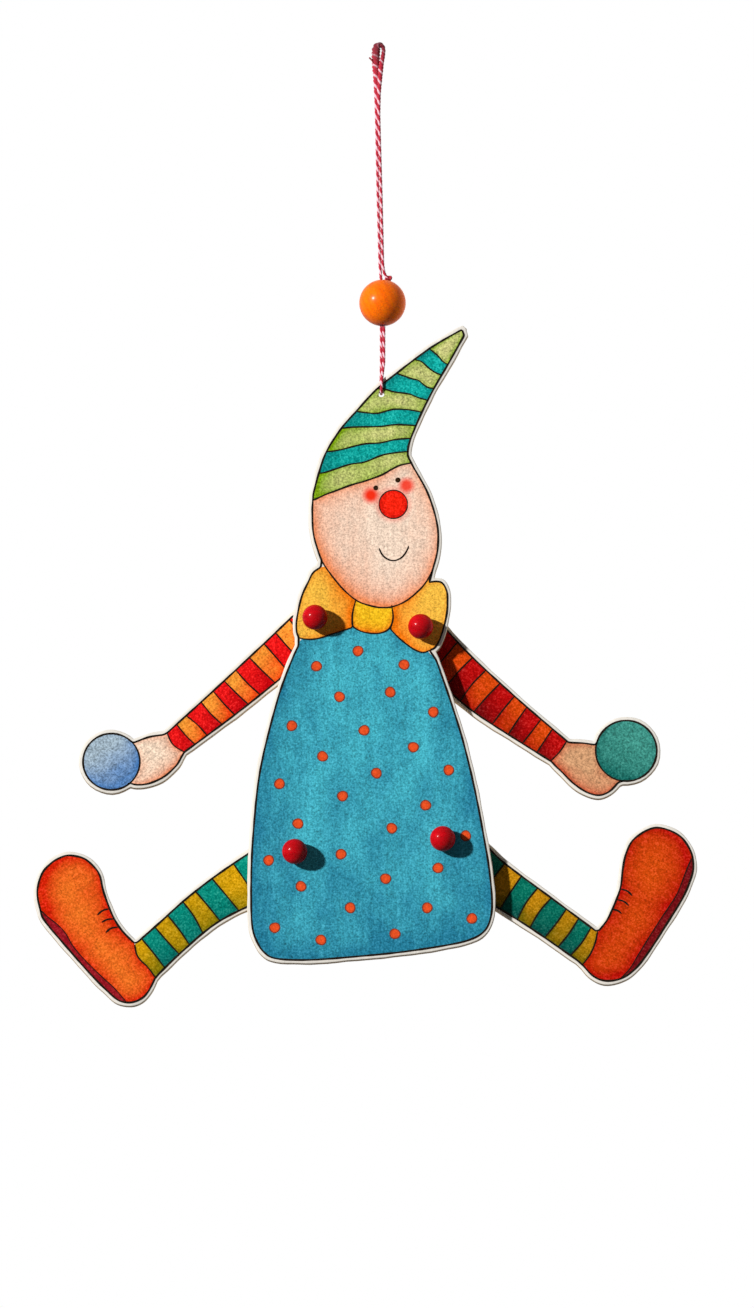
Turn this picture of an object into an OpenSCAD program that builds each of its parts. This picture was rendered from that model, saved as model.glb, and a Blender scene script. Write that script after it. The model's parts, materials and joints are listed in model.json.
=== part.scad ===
// Hanging jumping jack toy: a painted plywood clown whose arms and legs turn on ball-headed pegs.
// The figure faces -Y and hangs in the XZ plane. The origin is the inside of the hanging loop,
// at its top, where a nail or hook bears.

/* [Boards] */
// Thickness of the plywood that all five boards are cut from
ply_t = 4; // [3:0.1:6]
// Bare wood left between the painted outline and the sawn edge
rim_w = 1.2; // [0.6:0.1:2]

/* [Body board] */
// Width of the painted hat, from the brim to the tip
hat_w = 49.3; // [42:0.1:56]
// Height of the painted hat, from the brim to the tip
hat_h = 56; // [49:0.1:62]
// Width of the painted face
head_w = 41; // [36:0.1:46]
// Height of the painted face from the chin to the brim
head_h = 47.4; // [43:0.1:52]
// Width of the bow tie
bow_w = 49.1; // [44:0.1:56]
// Height of the bow tie from its highest corner to its lowest
bow_h = 28.1; // [25:0.1:32]
// Width of the dress at its widest
dress_w = 78.2; // [68:0.1:90]
// Height of the dress from the bow tie's knot to the hem
dress_h = 110; // [96:0.1:120]
// Height of the middle of the hip pegs above the hem
hip_up = 37.1; // [30:0.1:44]
// Bore of the hole in the hat that the hanging cord passes through
cord_hole_d = 2.6; // [2.5:0.1:4]

/* [Arms] */
// Length of each sleeve from the shoulder peg to the cuff
sleeve_l = 60.5; // [50:0.1:70]
// Width of the left sleeve
sleeve_left_w = 12.1; // [10.5:0.1:14]
// Width of the right sleeve
sleeve_right_w = 13.4; // [11.5:0.1:15]
// Length of each hand past the cuff
hand_l = 21; // [18:0.1:24]
// Width of each hand
hand_w = 14.8; // [13:0.1:17]
// Diameter of the ball in the left hand
ball_left_d = 18.5; // [15:0.1:22]
// Diameter of the ball in the right hand
ball_right_d = 19.9; // [16:0.1:23]
// Radius of the rounded end of each arm round its peg
shoulder_r = 7.4; // [6:0.1:8.4]
// How far the left sleeve points below the horizontal in the pose shown
arm_left_drop = 41.4; // [35:0.1:48]
// How far the right sleeve points below the horizontal in the pose shown
arm_right_drop = 41.5; // [35:0.1:48]

/* [Legs] */
// Length of each stocking from the hip peg to the boot
stocking_l = 60; // [52:0.1:66]
// Width of the left stocking
stocking_left_w = 16.3; // [15:0.1:18]
// Width of the right stocking
stocking_right_w = 15.9; // [14:0.1:17.5]
// Length of the left boot from the heel to the toe
boot_left_l = 52.3; // [46:0.1:58]
// Depth of the left boot from the instep to the sole
boot_left_w = 23.2; // [20:0.1:26]
// Length of the right boot from the heel to the toe
boot_right_l = 53.6; // [46:0.1:58]
// Depth of the right boot from the instep to the sole
boot_right_w = 25.4; // [22:0.1:28]
// Radius of the rounded end of each leg round its peg
hip_r = 9.3; // [8:0.1:10.2]
// How far the left stocking points below the horizontal in the pose shown
leg_left_drop = 35.1; // [30:0.1:42]
// How far the right stocking points below the horizontal in the pose shown
leg_right_drop = 36.1; // [30:0.1:42]

/* [Pegs] */
// Distance between the two shoulder pegs
shoulder_gap = 34.5; // [32:0.1:37]
// Distance between the two hip pegs
hip_gap = 48.2; // [42:0.1:54]
// Diameter of the ball on the front of each peg
peg_ball_d = 8.2; // [6.6:0.1:10]
// Diameter of each peg's shank
peg_shank_d = 4; // [3:0.1:5]
// Diameter of the cap glued on the back end of each peg
cap_d = 10; // [8:0.1:11]
// Thickness of each cap
cap_t = 3; // [2:0.1:5]
// Diameter of the washer between the body board and each limb
washer_d = 9; // [7:0.1:11]
// Thickness of each washer
washer_t = 1; // [0.9:0.05:2]

/* [Pull linkage] */
// Distance from each peg to the cord hole in the limb's tail
tail_l = 8; // [7.4:0.1:8.6]
// Radius of the rounded end of each tail
tail_r = 3.4; // [3:0.1:3.8]
// Diameter of the cord hole in each tail
tail_hole_d = 3.2; // [3:0.1:3.6]
// Angle of the tails above the horizontal in the pose shown
tail_rise = 10; // [6:0.5:14]
// Diameter of the cords that link the limbs
link_d = 0.8; // [0.6:0.05:0.8]
// Diameter of the knots in those cords
link_knot_d = 2.2; // [1.8:0.1:2.4]

/* [Hanging cord] */
// Diameter of the twisted twine
twine_d = 1; // [0.8:0.05:1.05]
// Diameter of the knot that joins the twine's two ends
twine_knot_d = 2; // [1.6:0.1:2]
// Diameter of the wooden bead
bead_d = 15.2; // [12:0.1:15.2]
// Bore through the bead
bead_bore_d = 3.2; // [3:0.1:4.5]

/* [Fits] */
// Radial clearance of each limb on its peg
turn_play = 0.08; // [0.05:0.01:0.1]
// Radial clearance of the glued joints on the pegs
glue_play = 0.03; // [0.02:0.01:0.05]
// Clearance beside each limb, towards the washer and towards the cap
side_play = 0.15; // [0.15:0.05:0.3]

/* [Hidden] */
$fn = 64;
// Steps that each span between two outline points, and each arc, is divided into
steps = 5;
arc_steps = 24;

// Heights of the layers along Y, from the front of the body board to the back of the caps
body_front = -ply_t / 2;
body_back = ply_t / 2;
limb_front = body_back + washer_t + side_play;
limb_back = limb_front + ply_t;
cap_front = limb_back + side_play;
cap_back = cap_front + cap_t;
// How far each peg stops short of its cap's back, and how far the cap's edge is eased
peg_inset = 0.3;
cap_ease = 0.8;
// The linking cords pass in front of each tail, in the middle of the gap, and run behind it
link_front = (body_back + limb_front) / 2;
link_back = limb_back + side_play + link_d / 2;

// Places on the body board in the XZ plane: each part of the figure hangs from the one above
hat_hole = [1.1, -114.6];
head_at = hat_hole + [-2, -46.4];
bow_at = head_at + [-0.9, -27.5];
dress_at = bow_at + [-1.7, -1.5];
shoulder_mid = bow_at + [-1.5, -1.4];
hip_mid = dress_at + [0.5, hip_up - dress_h];

// The pegs' lines are not quite level: the shoulders slope one way and the hips the other
shoulder_slope = 5;
hip_slope = 5;
shoulder_left = shoulder_mid + shoulder_gap / 2 * [-cos(shoulder_slope), sin(shoulder_slope)];
shoulder_right = shoulder_mid - shoulder_gap / 2 * [-cos(shoulder_slope), sin(shoulder_slope)];
hip_left = hip_mid - hip_gap / 2 * [cos(hip_slope), sin(hip_slope)];
hip_right = hip_mid + hip_gap / 2 * [cos(hip_slope), sin(hip_slope)];

// The painted outlines as drawn, in millimetres at the size given with each: sized() stretches
// them to the sizes above, and grown() adds the bare rim. The body's parts run from the tip of the
// hat down the left side, along the hem and up the right side.
hat_drawn = [49.3, 56];
hat_back = [
    [26.4, 20.9], [25.2, 20.6], [15.6, 14.9], [4.8, 6.7], [-1.6, 1.5], [-8, -5.5],
    [-13.1, -11.4], [-17.9, -19], [-20.4, -26.1], [-22.2, -33]
];
hat_front = [[8.6, -20.5], [8.7, -17.8], [9.8, -14], [13.1, -6.2], [17, 1.6], [21.6, 9.6], [27, 19.3]];
head_drawn = [41, 47.4];
head_left = [[-20.5, 8.6], [-20.2, 1], [-18.7, -4.9], [-17.4, -8.4]];
head_right = [[18.6, -11.6], [20.1, -6], [20.5, -1], [20.2, 3.2], [18.8, 9], [16.4, 15.3], [12.6, 22]];
bow_drawn = [49.1, 28.1];
bow_left = [
    [-16.9, 16.9], [-19.3, 15.2], [-20.8, 12.3], [-23.1, 7.1], [-24.6, 0], [-24.7, -4], [-24, -6]
];
bow_right = [
    [18.6, -10.3], [20.3, -9.4], [21.8, -7], [23.2, -2.8], [24.2, 2], [24.4, 5.9], [24.2, 9],
    [22.8, 11.7], [20.8, 12.3], [18.5, 12]
];
dress_drawn = [78.2, 110];
dress_edge = [
    [-22.4, -7.3], [-24.6, -12.2], [-28, -21.2], [-30.6, -30.2], [-33.6, -42.2], [-35.5, -52.7],
    [-36.7, -64.7], [-37.5, -76.7], [-37.7, -88.6], [-37.4, -98.4], [-36.1, -103.4],
    [-33.5, -107.5], [-29.4, -109.6], [-18.6, -110], [-3.6, -108.9], [11.4, -107.4],
    [26.4, -105.1], [33.9, -103.2], [38.2, -100.4], [40.1, -96.1], [40.5, -90.1],
    [39.5, -79.7], [38, -70.7], [36.1, -60.2], [33.9, -49.7], [30.9, -37.7], [27.9, -27.9],
    [24.9, -19], [22.4, -12]
];

// The limbs' outlines run out along the lower edge, round the hand or boot and back along the
// upper edge. Sleeves and stockings are drawn from the peg, hands from the middle of the cuff.
sleeve_left_drawn = [60.5, 12.1];
sleeve_left_under = [[8, -6.6], [20, -6.8], [40, -5.9], [60.5, -4.2]];
sleeve_left_over = [[60.5, 4.2], [40, 4.6], [18, 5.3], [4, 5.9]];
sleeve_right_drawn = [60.5, 13.4];
sleeve_right_under = [[8, -8.2], [19, -9], [31, -8.7], [45, -6.7], [60.5, -4.2]];
sleeve_right_over = [[60.5, 4.2], [40, 3.9], [18, 4.4], [4, 5.9]];
hand_drawn = [21, 14.8];
hand_left_under = [[2, -4.9], [4.9, -5.8], [10.2, -5.9], [15.4, -4.3], [18.7, -1.9], [20, 0.1]];
hand_left_over = [[10, 8.9], [5.3, 7.1], [1.4, 4.6]];
hand_right_under = [[2, -4.4], [4.9, -4.5], [9.9, -4.8], [15.2, -4.1], [18.9, -2.2], [20.6, 1], [20.8, 5]];
hand_right_over = [[7, 9.3], [3.9, 7.3], [1.2, 5.1]];
// Where each held ball lies, from the middle of the cuff, and where its free edge starts and ends
ball_left_at = [19.8, 9.1];
ball_left_edge = [-84, 178];
ball_right_at = [15.9, 14.6];
ball_right_edge = [-56, 206];
stocking_left_drawn = [60, 16.3];
stocking_left_under = [[12, -7.4], [25.4, -4.6], [36, -3.7], [49, -5], [58.5, -6.5]];
stocking_left_over = [[58.5, 5.9], [48, 7.1], [38.6, 8.3], [26.7, 9], [12, 8.9], [4, 8.4]];
stocking_right_drawn = [60, 15.9];
stocking_right_under = [[4, -8], [12, -8], [26, -7], [40, -6], [58.5, -5.6]];
stocking_right_over = [[57.5, 5.7], [40, 5.9], [21, 6.1], [12, 7.3], [4, 7.9]];
// Boots are drawn from the middle of the ankle: heel, sole, toe and instep
boot_left_drawn = [23.2, 52.3];
boot_left_edge = [
    [0.6, -7.1], [4.1, -9], [7.5, -9.9], [11.3, -9], [14.2, -6.2], [15.5, -1.4], [16.8, 6.1],
    [18, 17.1], [19, 28.6], [18.1, 34.5], [15.1, 39.6], [7.2, 42.4], [0.4, 42.3], [-3, 38.5],
    [-4.2, 34.4], [-4.1, 30.8], [-2.4, 26.7], [-1.2, 22.8], [0.1, 17.1], [0.3, 11.8], [-0.6, 6.4]
];
boot_right_drawn = [25.4, 53.6];
boot_right_edge = [
    [1, -5.9], [5.3, -6.7], [9.4, -5.7], [13.2, -2], [15.1, 3.5], [15.3, 11.3], [14.7, 21],
    [13.9, 31.1], [12.2, 38.2], [10.2, 42.1], [6.4, 45.3], [0.5, 46.9], [-6.7, 44.5],
    [-10.1, 37.8], [-9.6, 32.3], [-7.4, 27.3], [-4.4, 21.9], [-2.7, 16], [-1.7, 10.9],
    [-1.8, 6.6]
];

// The twine's route, in millimetres: from the knot on the bead down through the bead, in front of
// the hat, back through its hole, up behind it and through the bead, over itself, round the hanging
// loop and down to the knot again
twine_route = [
    [3.7, 1.2, -75.9], [2.6, 0.6, -76.2], [2.05, 0, -77.2], [2.05, 0, -104], [1.2, -2.7, -109.4],
    [1.1, -2.7, -114.4], [1.1, 2.7, -114.4], [1, 2.7, -109.4], [1, 0, -104], [1, 0, -77],
    [0.6, 0, -72], [0, 0, -48], [-0.85, 0, -14], [-1.2, -0.25, -9], [-0.5, -0.55, -5.6],
    [0.5, -0.55, -4], [1.5, -0.2, -2.4], [1.7, 0, -1.2], [1, 0, 0.2], [0, 0, 0.5], [-1, 0, 0.2],
    [-1.6, 0, -1.2], [-1.3, 0.2, -2.6], [-0.2, 0.55, -4.2], [0.6, 0.55, -5.8], [0.7, 0.25, -9],
    [0.2, 0, -14], [1.05, 0, -48], [1.7, 0, -72], [2.5, 0.6, -74.8], [3.7, 1.2, -75.9]
];
twine_bend = 1.3;
bead_at = [1.5, 0, -84.3];

// Sides of each cord, and the longest step between its rings in diameters
cord_sides = 8;
ring_step = 3;

// Where the linking cords pass through the tails' holes, measured in from each peg: the middle of
// the holes' sideways swing, from level tails to tails turned up or down by tail_swing
tail_swing = 40;
link_in = tail_l * (1 + cos(tail_swing)) / 2;
// Where they pass round the tails' ends: clear of the end of a level tail
link_out = tail_l + tail_r + side_play * 2 + link_d / 2;
link_up = tail_l * sin(tail_rise);
link_bend = 0.6;
// How far the middle of each linking cord hangs below its ends
link_sag = 3;
link_knot_y = limb_back + side_play + link_knot_d / 2;
pull_x = (shoulder_mid[0] + hip_mid[0]) / 2;

// Part of a drawn outline, stretched from the drawing's size to the real one and moved to its place
function sized(p, drawn, w, h, at = [0, 0]) =
    [for (q = p) at + [q[0] * w / drawn[0], q[1] * h / drawn[1]]];

// A point on a smooth curve through b and c, with a and d as its neighbours
function along(a, b, c, d, t) =
    0.5 * (2 * b + (c - a) * t + (2 * a - 5 * b + 4 * c - d) * t * t
    + (3 * b - a - 3 * c + d) * t * t * t);

// A smooth curve through points
function curve(p) =
    let (last = len(p) - 1)
    [
        for (i = [0 : last - 1])
            for (k = [0 : steps - 1])
                along(p[max(i - 1, 0)], p[i], p[i + 1], p[min(i + 2, last)], k / steps),
        p[last]
    ];

// An arc of radius r round a point, from one angle to another
function arc(at, r, from, to) =
    [for (k = [0 : arc_steps]) let (a = from + (to - from) * k / arc_steps) at + r * [cos(a), sin(a)]];

function unit(v) = v / norm(v);

// How far point q is from the stretch between a and b
function apart(q, a, b) =
    let (ab = b - a, t = max(0, min(1, (q - a) * ab / (ab * ab))))
    norm(q - a - t * ab);

// An anticlockwise outline moved outwards by d. In a hollow corner the points that would come
// nearer than d to the outline's other side are left out.
function grown(p, d) =
    let (
        n = len(p),
        moved = [
            for (i = [0 : n - 1])
                let (
                    a = unit(p[i] - p[(i + n - 1) % n]),
                    b = unit(p[(i + 1) % n] - p[i]),
                    m = [a[1] + b[1], -a[0] - b[0]]
                )
                p[i] + m * d * min(2 / (m * m), 1)
        ]
    )
    [
        for (q = moved)
            if (min([for (i = [0 : n - 1]) apart(q, p[i], p[(i + 1) % n])]) > 0.999 * d)
                q
    ];

// A route with its sharp corners rounded off by a bend of radius r
function rounded(p, r) =
    let (last = len(p) - 1)
    [
        for (i = [0 : last])
            let (
                back = p[max(i - 1, 0)] - p[i],
                on = p[min(i + 1, last)] - p[i],
                ends = i == 0 || i == last,
                turn = ends ? 0 : 180 - acos(max(-1, min(1, unit(back) * unit(on)))),
                t = min(r * tan(turn / 2), 0.45 * norm(back), 0.45 * norm(on))
            )
            if (turn < 35) p[i]
            else
                let (a = p[i] + unit(back) * t, b = p[i] + unit(on) * t)
                for (s = [0, 0.5, 1])
                    a * (1 - s) * (1 - s) + p[i] * 2 * s * (1 - s) + b * s * s
    ];

// A route with its long runs divided, so that no two rings are further apart than step
function divided(p, step) =
    let (last = len(p) - 1)
    [
        for (i = [0 : last - 1])
            let (n = max(1, ceil(norm(p[i + 1] - p[i]) / step - 0.2)))
            for (k = [0 : n - 1])
                p[i] + (p[i + 1] - p[i]) * k / n,
        p[last]
    ];

function square_to(v, t) = unit(v - t * (v * t));

// A cord of diameter d swept along a route's points
module cord(route, d) {
    p = divided(route, ring_step * d);
    last = len(p) - 1;
    t = [for (i = [0 : last]) unit(p[min(i + 1, last)] - p[max(i - 1, 0)])];
    side = [
        for (
            i = 0, v = square_to([0.3, 1, 0.2], t[0]);
            i <= last;
            i = i + 1, v = i > last ? v : square_to(v, t[i])
        )
            v
    ];
    points = [
        for (i = [0 : last])
            for (k = [0 : cord_sides - 1])
                let (a = 360 * k / cord_sides)
                p[i] + d / 2 * (cos(a) * side[i] + sin(a) * cross(t[i], side[i]))
    ];
    walls = [
        for (i = [0 : last - 1])
            for (k = [0 : cord_sides - 1])
                let (
                    a = i * cord_sides + k,
                    b = i * cord_sides + (k + 1) % cord_sides
                )
                each [[a, a + cord_sides, b], [b, a + cord_sides, b + cord_sides]]
    ];
    first_cap = [for (k = [1 : cord_sides - 2]) [0, k, k + 1]];
    last_cap = [
        for (k = [1 : cord_sides - 2])
            [last * cord_sides, last * cord_sides + k + 1, last * cord_sides + k]
    ];
    polyhedron(points, concat(walls, first_cap, last_cap));
}

// A flat piece of sheet standing in the XZ plane, from y_front back
module sheet(y_front, thickness) {
    translate([0, y_front + thickness, 0])
        rotate([90, 0, 0])
            linear_extrude(thickness)
                children();
}

// A round piece turned about a peg's axis, from a profile of [radius, depth] points
module turned(at, profile) {
    translate([at[0], 0, at[1]])
        rotate([-90, 0, 0])
            rotate_extrude()
                polygon(profile);
}

// A hole along Y
module bore(at, d, y_front, y_back) {
    translate([at[0], y_front - 1, at[1]])
        rotate([-90, 0, 0])
            cylinder(d = d, h = y_back - y_front + 2);
}

// The body board's painted outline, anticlockwise from the tip of the hat
body_outline = concat(
    curve(sized(hat_back, hat_drawn, hat_w, hat_h, hat_hole)),
    curve(sized(head_left, head_drawn, head_w, head_h, head_at)),
    curve(sized(bow_left, bow_drawn, bow_w, bow_h, bow_at)),
    curve(sized(dress_edge, dress_drawn, dress_w, dress_h, dress_at)),
    curve(sized(bow_right, bow_drawn, bow_w, bow_h, bow_at)),
    curve(sized(head_right, head_drawn, head_w, head_h, head_at)),
    curve(sized(hat_front, hat_drawn, hat_w, hat_h, hat_hole))
);

module body_board() {
    color("skyblue")
        difference() {
            sheet(body_front, ply_t)
                polygon(grown(body_outline, rim_w));
            bore(hat_hole, cord_hole_d, body_front, body_back);
            for (at = [shoulder_left, shoulder_right, hip_left, hip_right])
                bore(at, peg_shank_d + 2 * glue_play, body_front, body_back);
        }
}

// A limb is drawn from its peg along X and then turned down and, on the left, mirrored
module placed(at, side, drop) {
    translate([at[0], 0, at[1]])
        mirror([side < 0 ? 1 : 0, 0, 0])
            rotate([0, drop, 0])
                children();
}

// The hidden end of a limb, anticlockwise: round the peg, and out and back along the tail that the
// linking cord pulls. The tail points at an angle of turn from the limb's own direction.
function hidden_end(end_r, turn) =
    let (
        r = end_r - rim_w,
        t = tail_r - rim_w,
        lean = asin(t / r),
        out = [cos(turn), sin(turn)]
    )
    concat(
        arc([0, 0], r, 90, turn - lean),
        arc(tail_l * out, t, turn - 90, turn + 90),
        arc([0, 0], r, turn + lean, 270)
    );

// A limb sawn from its outline, with the bore that turns on the peg and the cord hole in its tail
module limb(outline, end_r, drop) {
    turn = 180 + drop - tail_rise;
    difference() {
        sheet(limb_front, ply_t)
            polygon(grown(concat(hidden_end(end_r, turn), outline), rim_w));
        bore([0, 0], peg_shank_d + 2 * turn_play, limb_front, limb_back);
        bore(tail_l * [cos(turn), sin(turn)], tail_hole_d, limb_front, limb_back);
    }
}

function arm_outline(under, over, drawn, w, palm, thumb, ball_at, ball_d, ball_edge) =
    let (cuff = [sleeve_l, 0])
    concat(
        curve(sized(under, drawn, sleeve_l, w)),
        curve(sized(palm, hand_drawn, hand_l, hand_w, cuff)),
        arc(sized([ball_at], hand_drawn, hand_l, hand_w, cuff)[0], ball_d / 2, ball_edge[0], ball_edge[1]),
        curve(sized(thumb, hand_drawn, hand_l, hand_w, cuff)),
        curve(sized(over, drawn, sleeve_l, w))
    );

module arm_left() {
    color("tomato")
        placed(shoulder_left, -1, arm_left_drop)
            limb(
                arm_outline(
                    sleeve_left_under, sleeve_left_over, sleeve_left_drawn, sleeve_left_w,
                    hand_left_under, hand_left_over,
                    ball_left_at, ball_left_d, ball_left_edge
                ),
                shoulder_r, arm_left_drop
            );
}

module arm_right() {
    color("darkorange")
        placed(shoulder_right, 1, arm_right_drop)
            limb(
                arm_outline(
                    sleeve_right_under, sleeve_right_over, sleeve_right_drawn, sleeve_right_w,
                    hand_right_under, hand_right_over,
                    ball_right_at, ball_right_d, ball_right_edge
                ),
                shoulder_r, arm_right_drop
            );
}

function leg_outline(under, over, drawn, w, boot, boot_drawn, boot_w, boot_l) =
    concat(
        curve(sized(under, drawn, stocking_l, w)),
        curve(sized(boot, boot_drawn, boot_w, boot_l, [stocking_l, 0])),
        curve(sized(over, drawn, stocking_l, w))
    );

module leg_left() {
    color("seagreen")
        placed(hip_left, -1, leg_left_drop)
            limb(
                leg_outline(
                    stocking_left_under, stocking_left_over, stocking_left_drawn,
                    stocking_left_w, boot_left_edge, boot_left_drawn, boot_left_w, boot_left_l
                ),
                hip_r, leg_left_drop
            );
}

module leg_right() {
    color("mediumseagreen")
        placed(hip_right, 1, leg_right_drop)
            limb(
                leg_outline(
                    stocking_right_under, stocking_right_over, stocking_right_drawn,
                    stocking_right_w, boot_right_edge, boot_right_drawn, boot_right_w,
                    boot_right_l
                ),
                hip_r, leg_right_drop
            );
}

// A turned peg: its ball touches the board's face round the shank, which runs through to the cap
module peg(at) {
    ball_y = body_front - sqrt(pow(peg_ball_d, 2) - pow(peg_shank_d, 2)) / 2;
    color("crimson") {
        translate([at[0], ball_y, at[1]])
            sphere(d = peg_ball_d);
        translate([at[0], ball_y, at[1]])
            rotate([-90, 0, 0])
                cylinder(d = peg_shank_d, h = cap_back - peg_inset - ball_y);
    }
}

module peg_shoulder_left() { peg(shoulder_left); }
module peg_shoulder_right() { peg(shoulder_right); }
module peg_hip_left() { peg(hip_left); }
module peg_hip_right() { peg(hip_right); }

module washer(at) {
    r = peg_shank_d / 2 + turn_play;
    color("antiquewhite")
        turned(at, [
            [r, body_back], [washer_d / 2, body_back],
            [washer_d / 2, body_back + washer_t], [r, body_back + washer_t]
        ]);
}

module washer_shoulder_left() { washer(shoulder_left); }
module washer_shoulder_right() { washer(shoulder_right); }
module washer_hip_left() { washer(hip_left); }
module washer_hip_right() { washer(hip_right); }

// A cap glued on the end of a peg, with its back edge eased
module cap(at) {
    r = peg_shank_d / 2 + glue_play;
    color("burlywood")
        turned(at, [
            [r, cap_front], [cap_d / 2, cap_front], [cap_d / 2, cap_back - cap_ease],
            [cap_d / 2 - cap_ease, cap_back], [r, cap_back]
        ]);
}

module cap_shoulder_left() { cap(shoulder_left); }
module cap_shoulder_right() { cap(shoulder_right); }
module cap_hip_left() { cap(hip_left); }
module cap_hip_right() { cap(hip_right); }

// The corners of a cord's loop through one tail's hole, from its knot out to the tail's end.
// The side is 1 where the tail points along +X, and -1 where it points along -X.
function tail_loop(at, side) =
    let (z = at[1] + link_up)
    [
        [at[0] + side * (link_in + link_out) / 2, link_back, z],
        [at[0] + side * link_in, link_back, z],
        [at[0] + side * link_in, link_front, z],
        [at[0] + side * link_out, link_front, z],
        [at[0] + side * link_out, link_back, z]
    ];

function reversed(p) = [for (i = [len(p) - 1 : -1 : 0]) p[i]];

function link_middle(left, right) =
    [pull_x, link_back, (left[1] + right[1]) / 2 + link_up - link_sag];

// A cord that links two limbs: a loop through each tail, and a slack run between them
module link_cord(left, right) {
    color("ivory")
        cord(
            rounded(
                concat(tail_loop(left, 1), [link_middle(left, right)], reversed(tail_loop(right, -1))),
                link_bend
            ),
            link_d
        );
}

module arm_cord() { link_cord(shoulder_left, shoulder_right); }
module leg_cord() { link_cord(hip_left, hip_right); }

module cord_knot(at) {
    color("ivory")
        translate(at)
            sphere(d = link_knot_d);
}

// The knots that close a linking cord's two loops
module link_knots(left, right) {
    for (end = [[left, 1], [right, -1]])
        cord_knot([
            end[0][0] + end[1] * (link_in + link_out) / 2, link_knot_y, end[0][1] + link_up
        ]);
}

module arm_cord_knots() { link_knots(shoulder_left, shoulder_right); }
module leg_cord_knots() { link_knots(hip_left, hip_right); }

// The cord that joins the middles of the two linking cords, taut between its knots
arm_middle = link_middle(shoulder_left, shoulder_right);
leg_middle = link_middle(hip_left, hip_right);

module center_cord() {
    color("ivory")
        cord([arm_middle, leg_middle], link_d);
}

module center_knots() {
    for (at = [arm_middle, leg_middle])
        cord_knot(at);
}

module hanging_cord() {
    color("palevioletred")
        cord(rounded(twine_route, twine_bend), twine_d);
}

module hanging_knot() {
    color("crimson")
        translate(twine_route[0])
            sphere(d = twine_knot_d);
}

module bead() {
    color("darkorange")
        translate(bead_at)
            difference() {
                sphere(d = bead_d);
                translate([0, 0, -bead_d])
                    cylinder(d = bead_bore_d, h = 2 * bead_d);
            }
}

body_board();
arm_left();
arm_right();
leg_left();
leg_right();
peg_shoulder_left();
peg_shoulder_right();
peg_hip_left();
peg_hip_right();
washer_shoulder_left();
washer_shoulder_right();
washer_hip_left();
washer_hip_right();
cap_shoulder_left();
cap_shoulder_right();
cap_hip_left();
cap_hip_right();
arm_cord();
arm_cord_knots();
leg_cord();
leg_cord_knots();
center_cord();
center_knots();
hanging_cord();
hanging_knot();
bead();
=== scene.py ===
# %% [markdown]
# # A painted jumping jack
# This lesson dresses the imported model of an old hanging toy: a flat plywood clown with washes of
# paint and ink on its front, four ball-headed pegs, and a loop of twisted twine with a bead.
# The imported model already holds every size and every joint. Blender adds what the eye sees: sanded
# edges, the layers of the plywood, the paint, the lacquer and the twist of the twine.

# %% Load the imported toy
import json
import bmesh
import bpy
import numpy as np
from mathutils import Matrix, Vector
from mathutils.geometry import tessellate_polygon

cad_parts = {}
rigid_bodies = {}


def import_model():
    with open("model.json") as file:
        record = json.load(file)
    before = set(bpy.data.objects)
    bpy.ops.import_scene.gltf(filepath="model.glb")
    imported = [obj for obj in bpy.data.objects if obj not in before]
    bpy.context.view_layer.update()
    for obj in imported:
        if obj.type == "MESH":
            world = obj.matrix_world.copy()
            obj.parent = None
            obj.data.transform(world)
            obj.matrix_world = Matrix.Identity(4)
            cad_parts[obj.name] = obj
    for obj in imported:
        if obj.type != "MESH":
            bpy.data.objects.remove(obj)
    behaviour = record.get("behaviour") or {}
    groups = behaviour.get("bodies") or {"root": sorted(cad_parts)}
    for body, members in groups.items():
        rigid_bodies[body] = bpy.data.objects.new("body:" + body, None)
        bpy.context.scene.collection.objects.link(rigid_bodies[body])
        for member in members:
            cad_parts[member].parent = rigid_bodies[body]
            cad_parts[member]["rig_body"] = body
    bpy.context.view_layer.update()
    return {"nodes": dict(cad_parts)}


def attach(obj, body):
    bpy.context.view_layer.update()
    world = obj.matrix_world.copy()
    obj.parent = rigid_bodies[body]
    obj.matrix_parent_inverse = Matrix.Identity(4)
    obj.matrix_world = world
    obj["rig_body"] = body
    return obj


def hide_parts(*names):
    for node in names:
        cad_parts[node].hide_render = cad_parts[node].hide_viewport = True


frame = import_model()
MM = 0.001

# %% [markdown]
# ## Camera
# The toy was photographed from in front and a little below, so that the sawn edges under its arms
# show. A long lens far away keeps the flat figure flat. The camera's own axis goes through the
# middle of the picture. From top to bottom the 1308 pixels take in 426 mm square to that axis, at
# the toy's distance, which is 429 mm of the toy's own plane, as that stands tilted to the axis.

# %% Place the camera
def new_object(name, data):
    """An object that holds the data, put in the scene."""
    made = bpy.data.objects.new(name, data)
    bpy.context.scene.collection.objects.link(made)
    return made


view_middle = Vector((-0.0003, -0.002, -0.2))
view_height = 0.4255
distance = 5
tilt = np.radians(7)

camera = new_object("camera", bpy.data.cameras.new("camera"))
camera.data.lens = camera.data.sensor_width * distance / view_height
camera.location = view_middle - distance * Vector((0, np.cos(tilt), np.sin(tilt)))
camera.rotation_euler = (np.pi / 2 + tilt, 0, 0)
bpy.context.scene.camera = camera
print("lens", round(camera.data.lens, 1), "mm")

# %% [markdown]
# ## Light
# The shadows of the pegs lie to their right and a little down, so the main light stands at the left,
# nearly level. It is a sun lamp wide enough to soften the shadows' edges. Those shadows are deep, so
# the world's fill is weak. A weak sun from the right lights the dark sides of the balls, and another
# from behind lights the cords and the backs of the boards. Both shine from behind the painted faces,
# so they leave the shadows there dark. The world's white is seen only by the camera and in
# reflections, and the floor is left out of the bounced light, so neither lightens the paint.

# %% Shader nodes
def new_node(tree, kind, inputs=None, **settings):
    """Adds a node with its settings, fills its inputs with plain values or links, and gives its outputs."""
    made = tree.nodes.new("ShaderNode" + kind)
    for name, value in settings.items():
        setattr(made, name, value)
    for name, value in (inputs or {}).items():
        if isinstance(value, bpy.types.NodeSocket):
            tree.links.new(value, made.inputs[name])
        else:
            made.inputs[name].default_value = value
    return made.outputs


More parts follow.
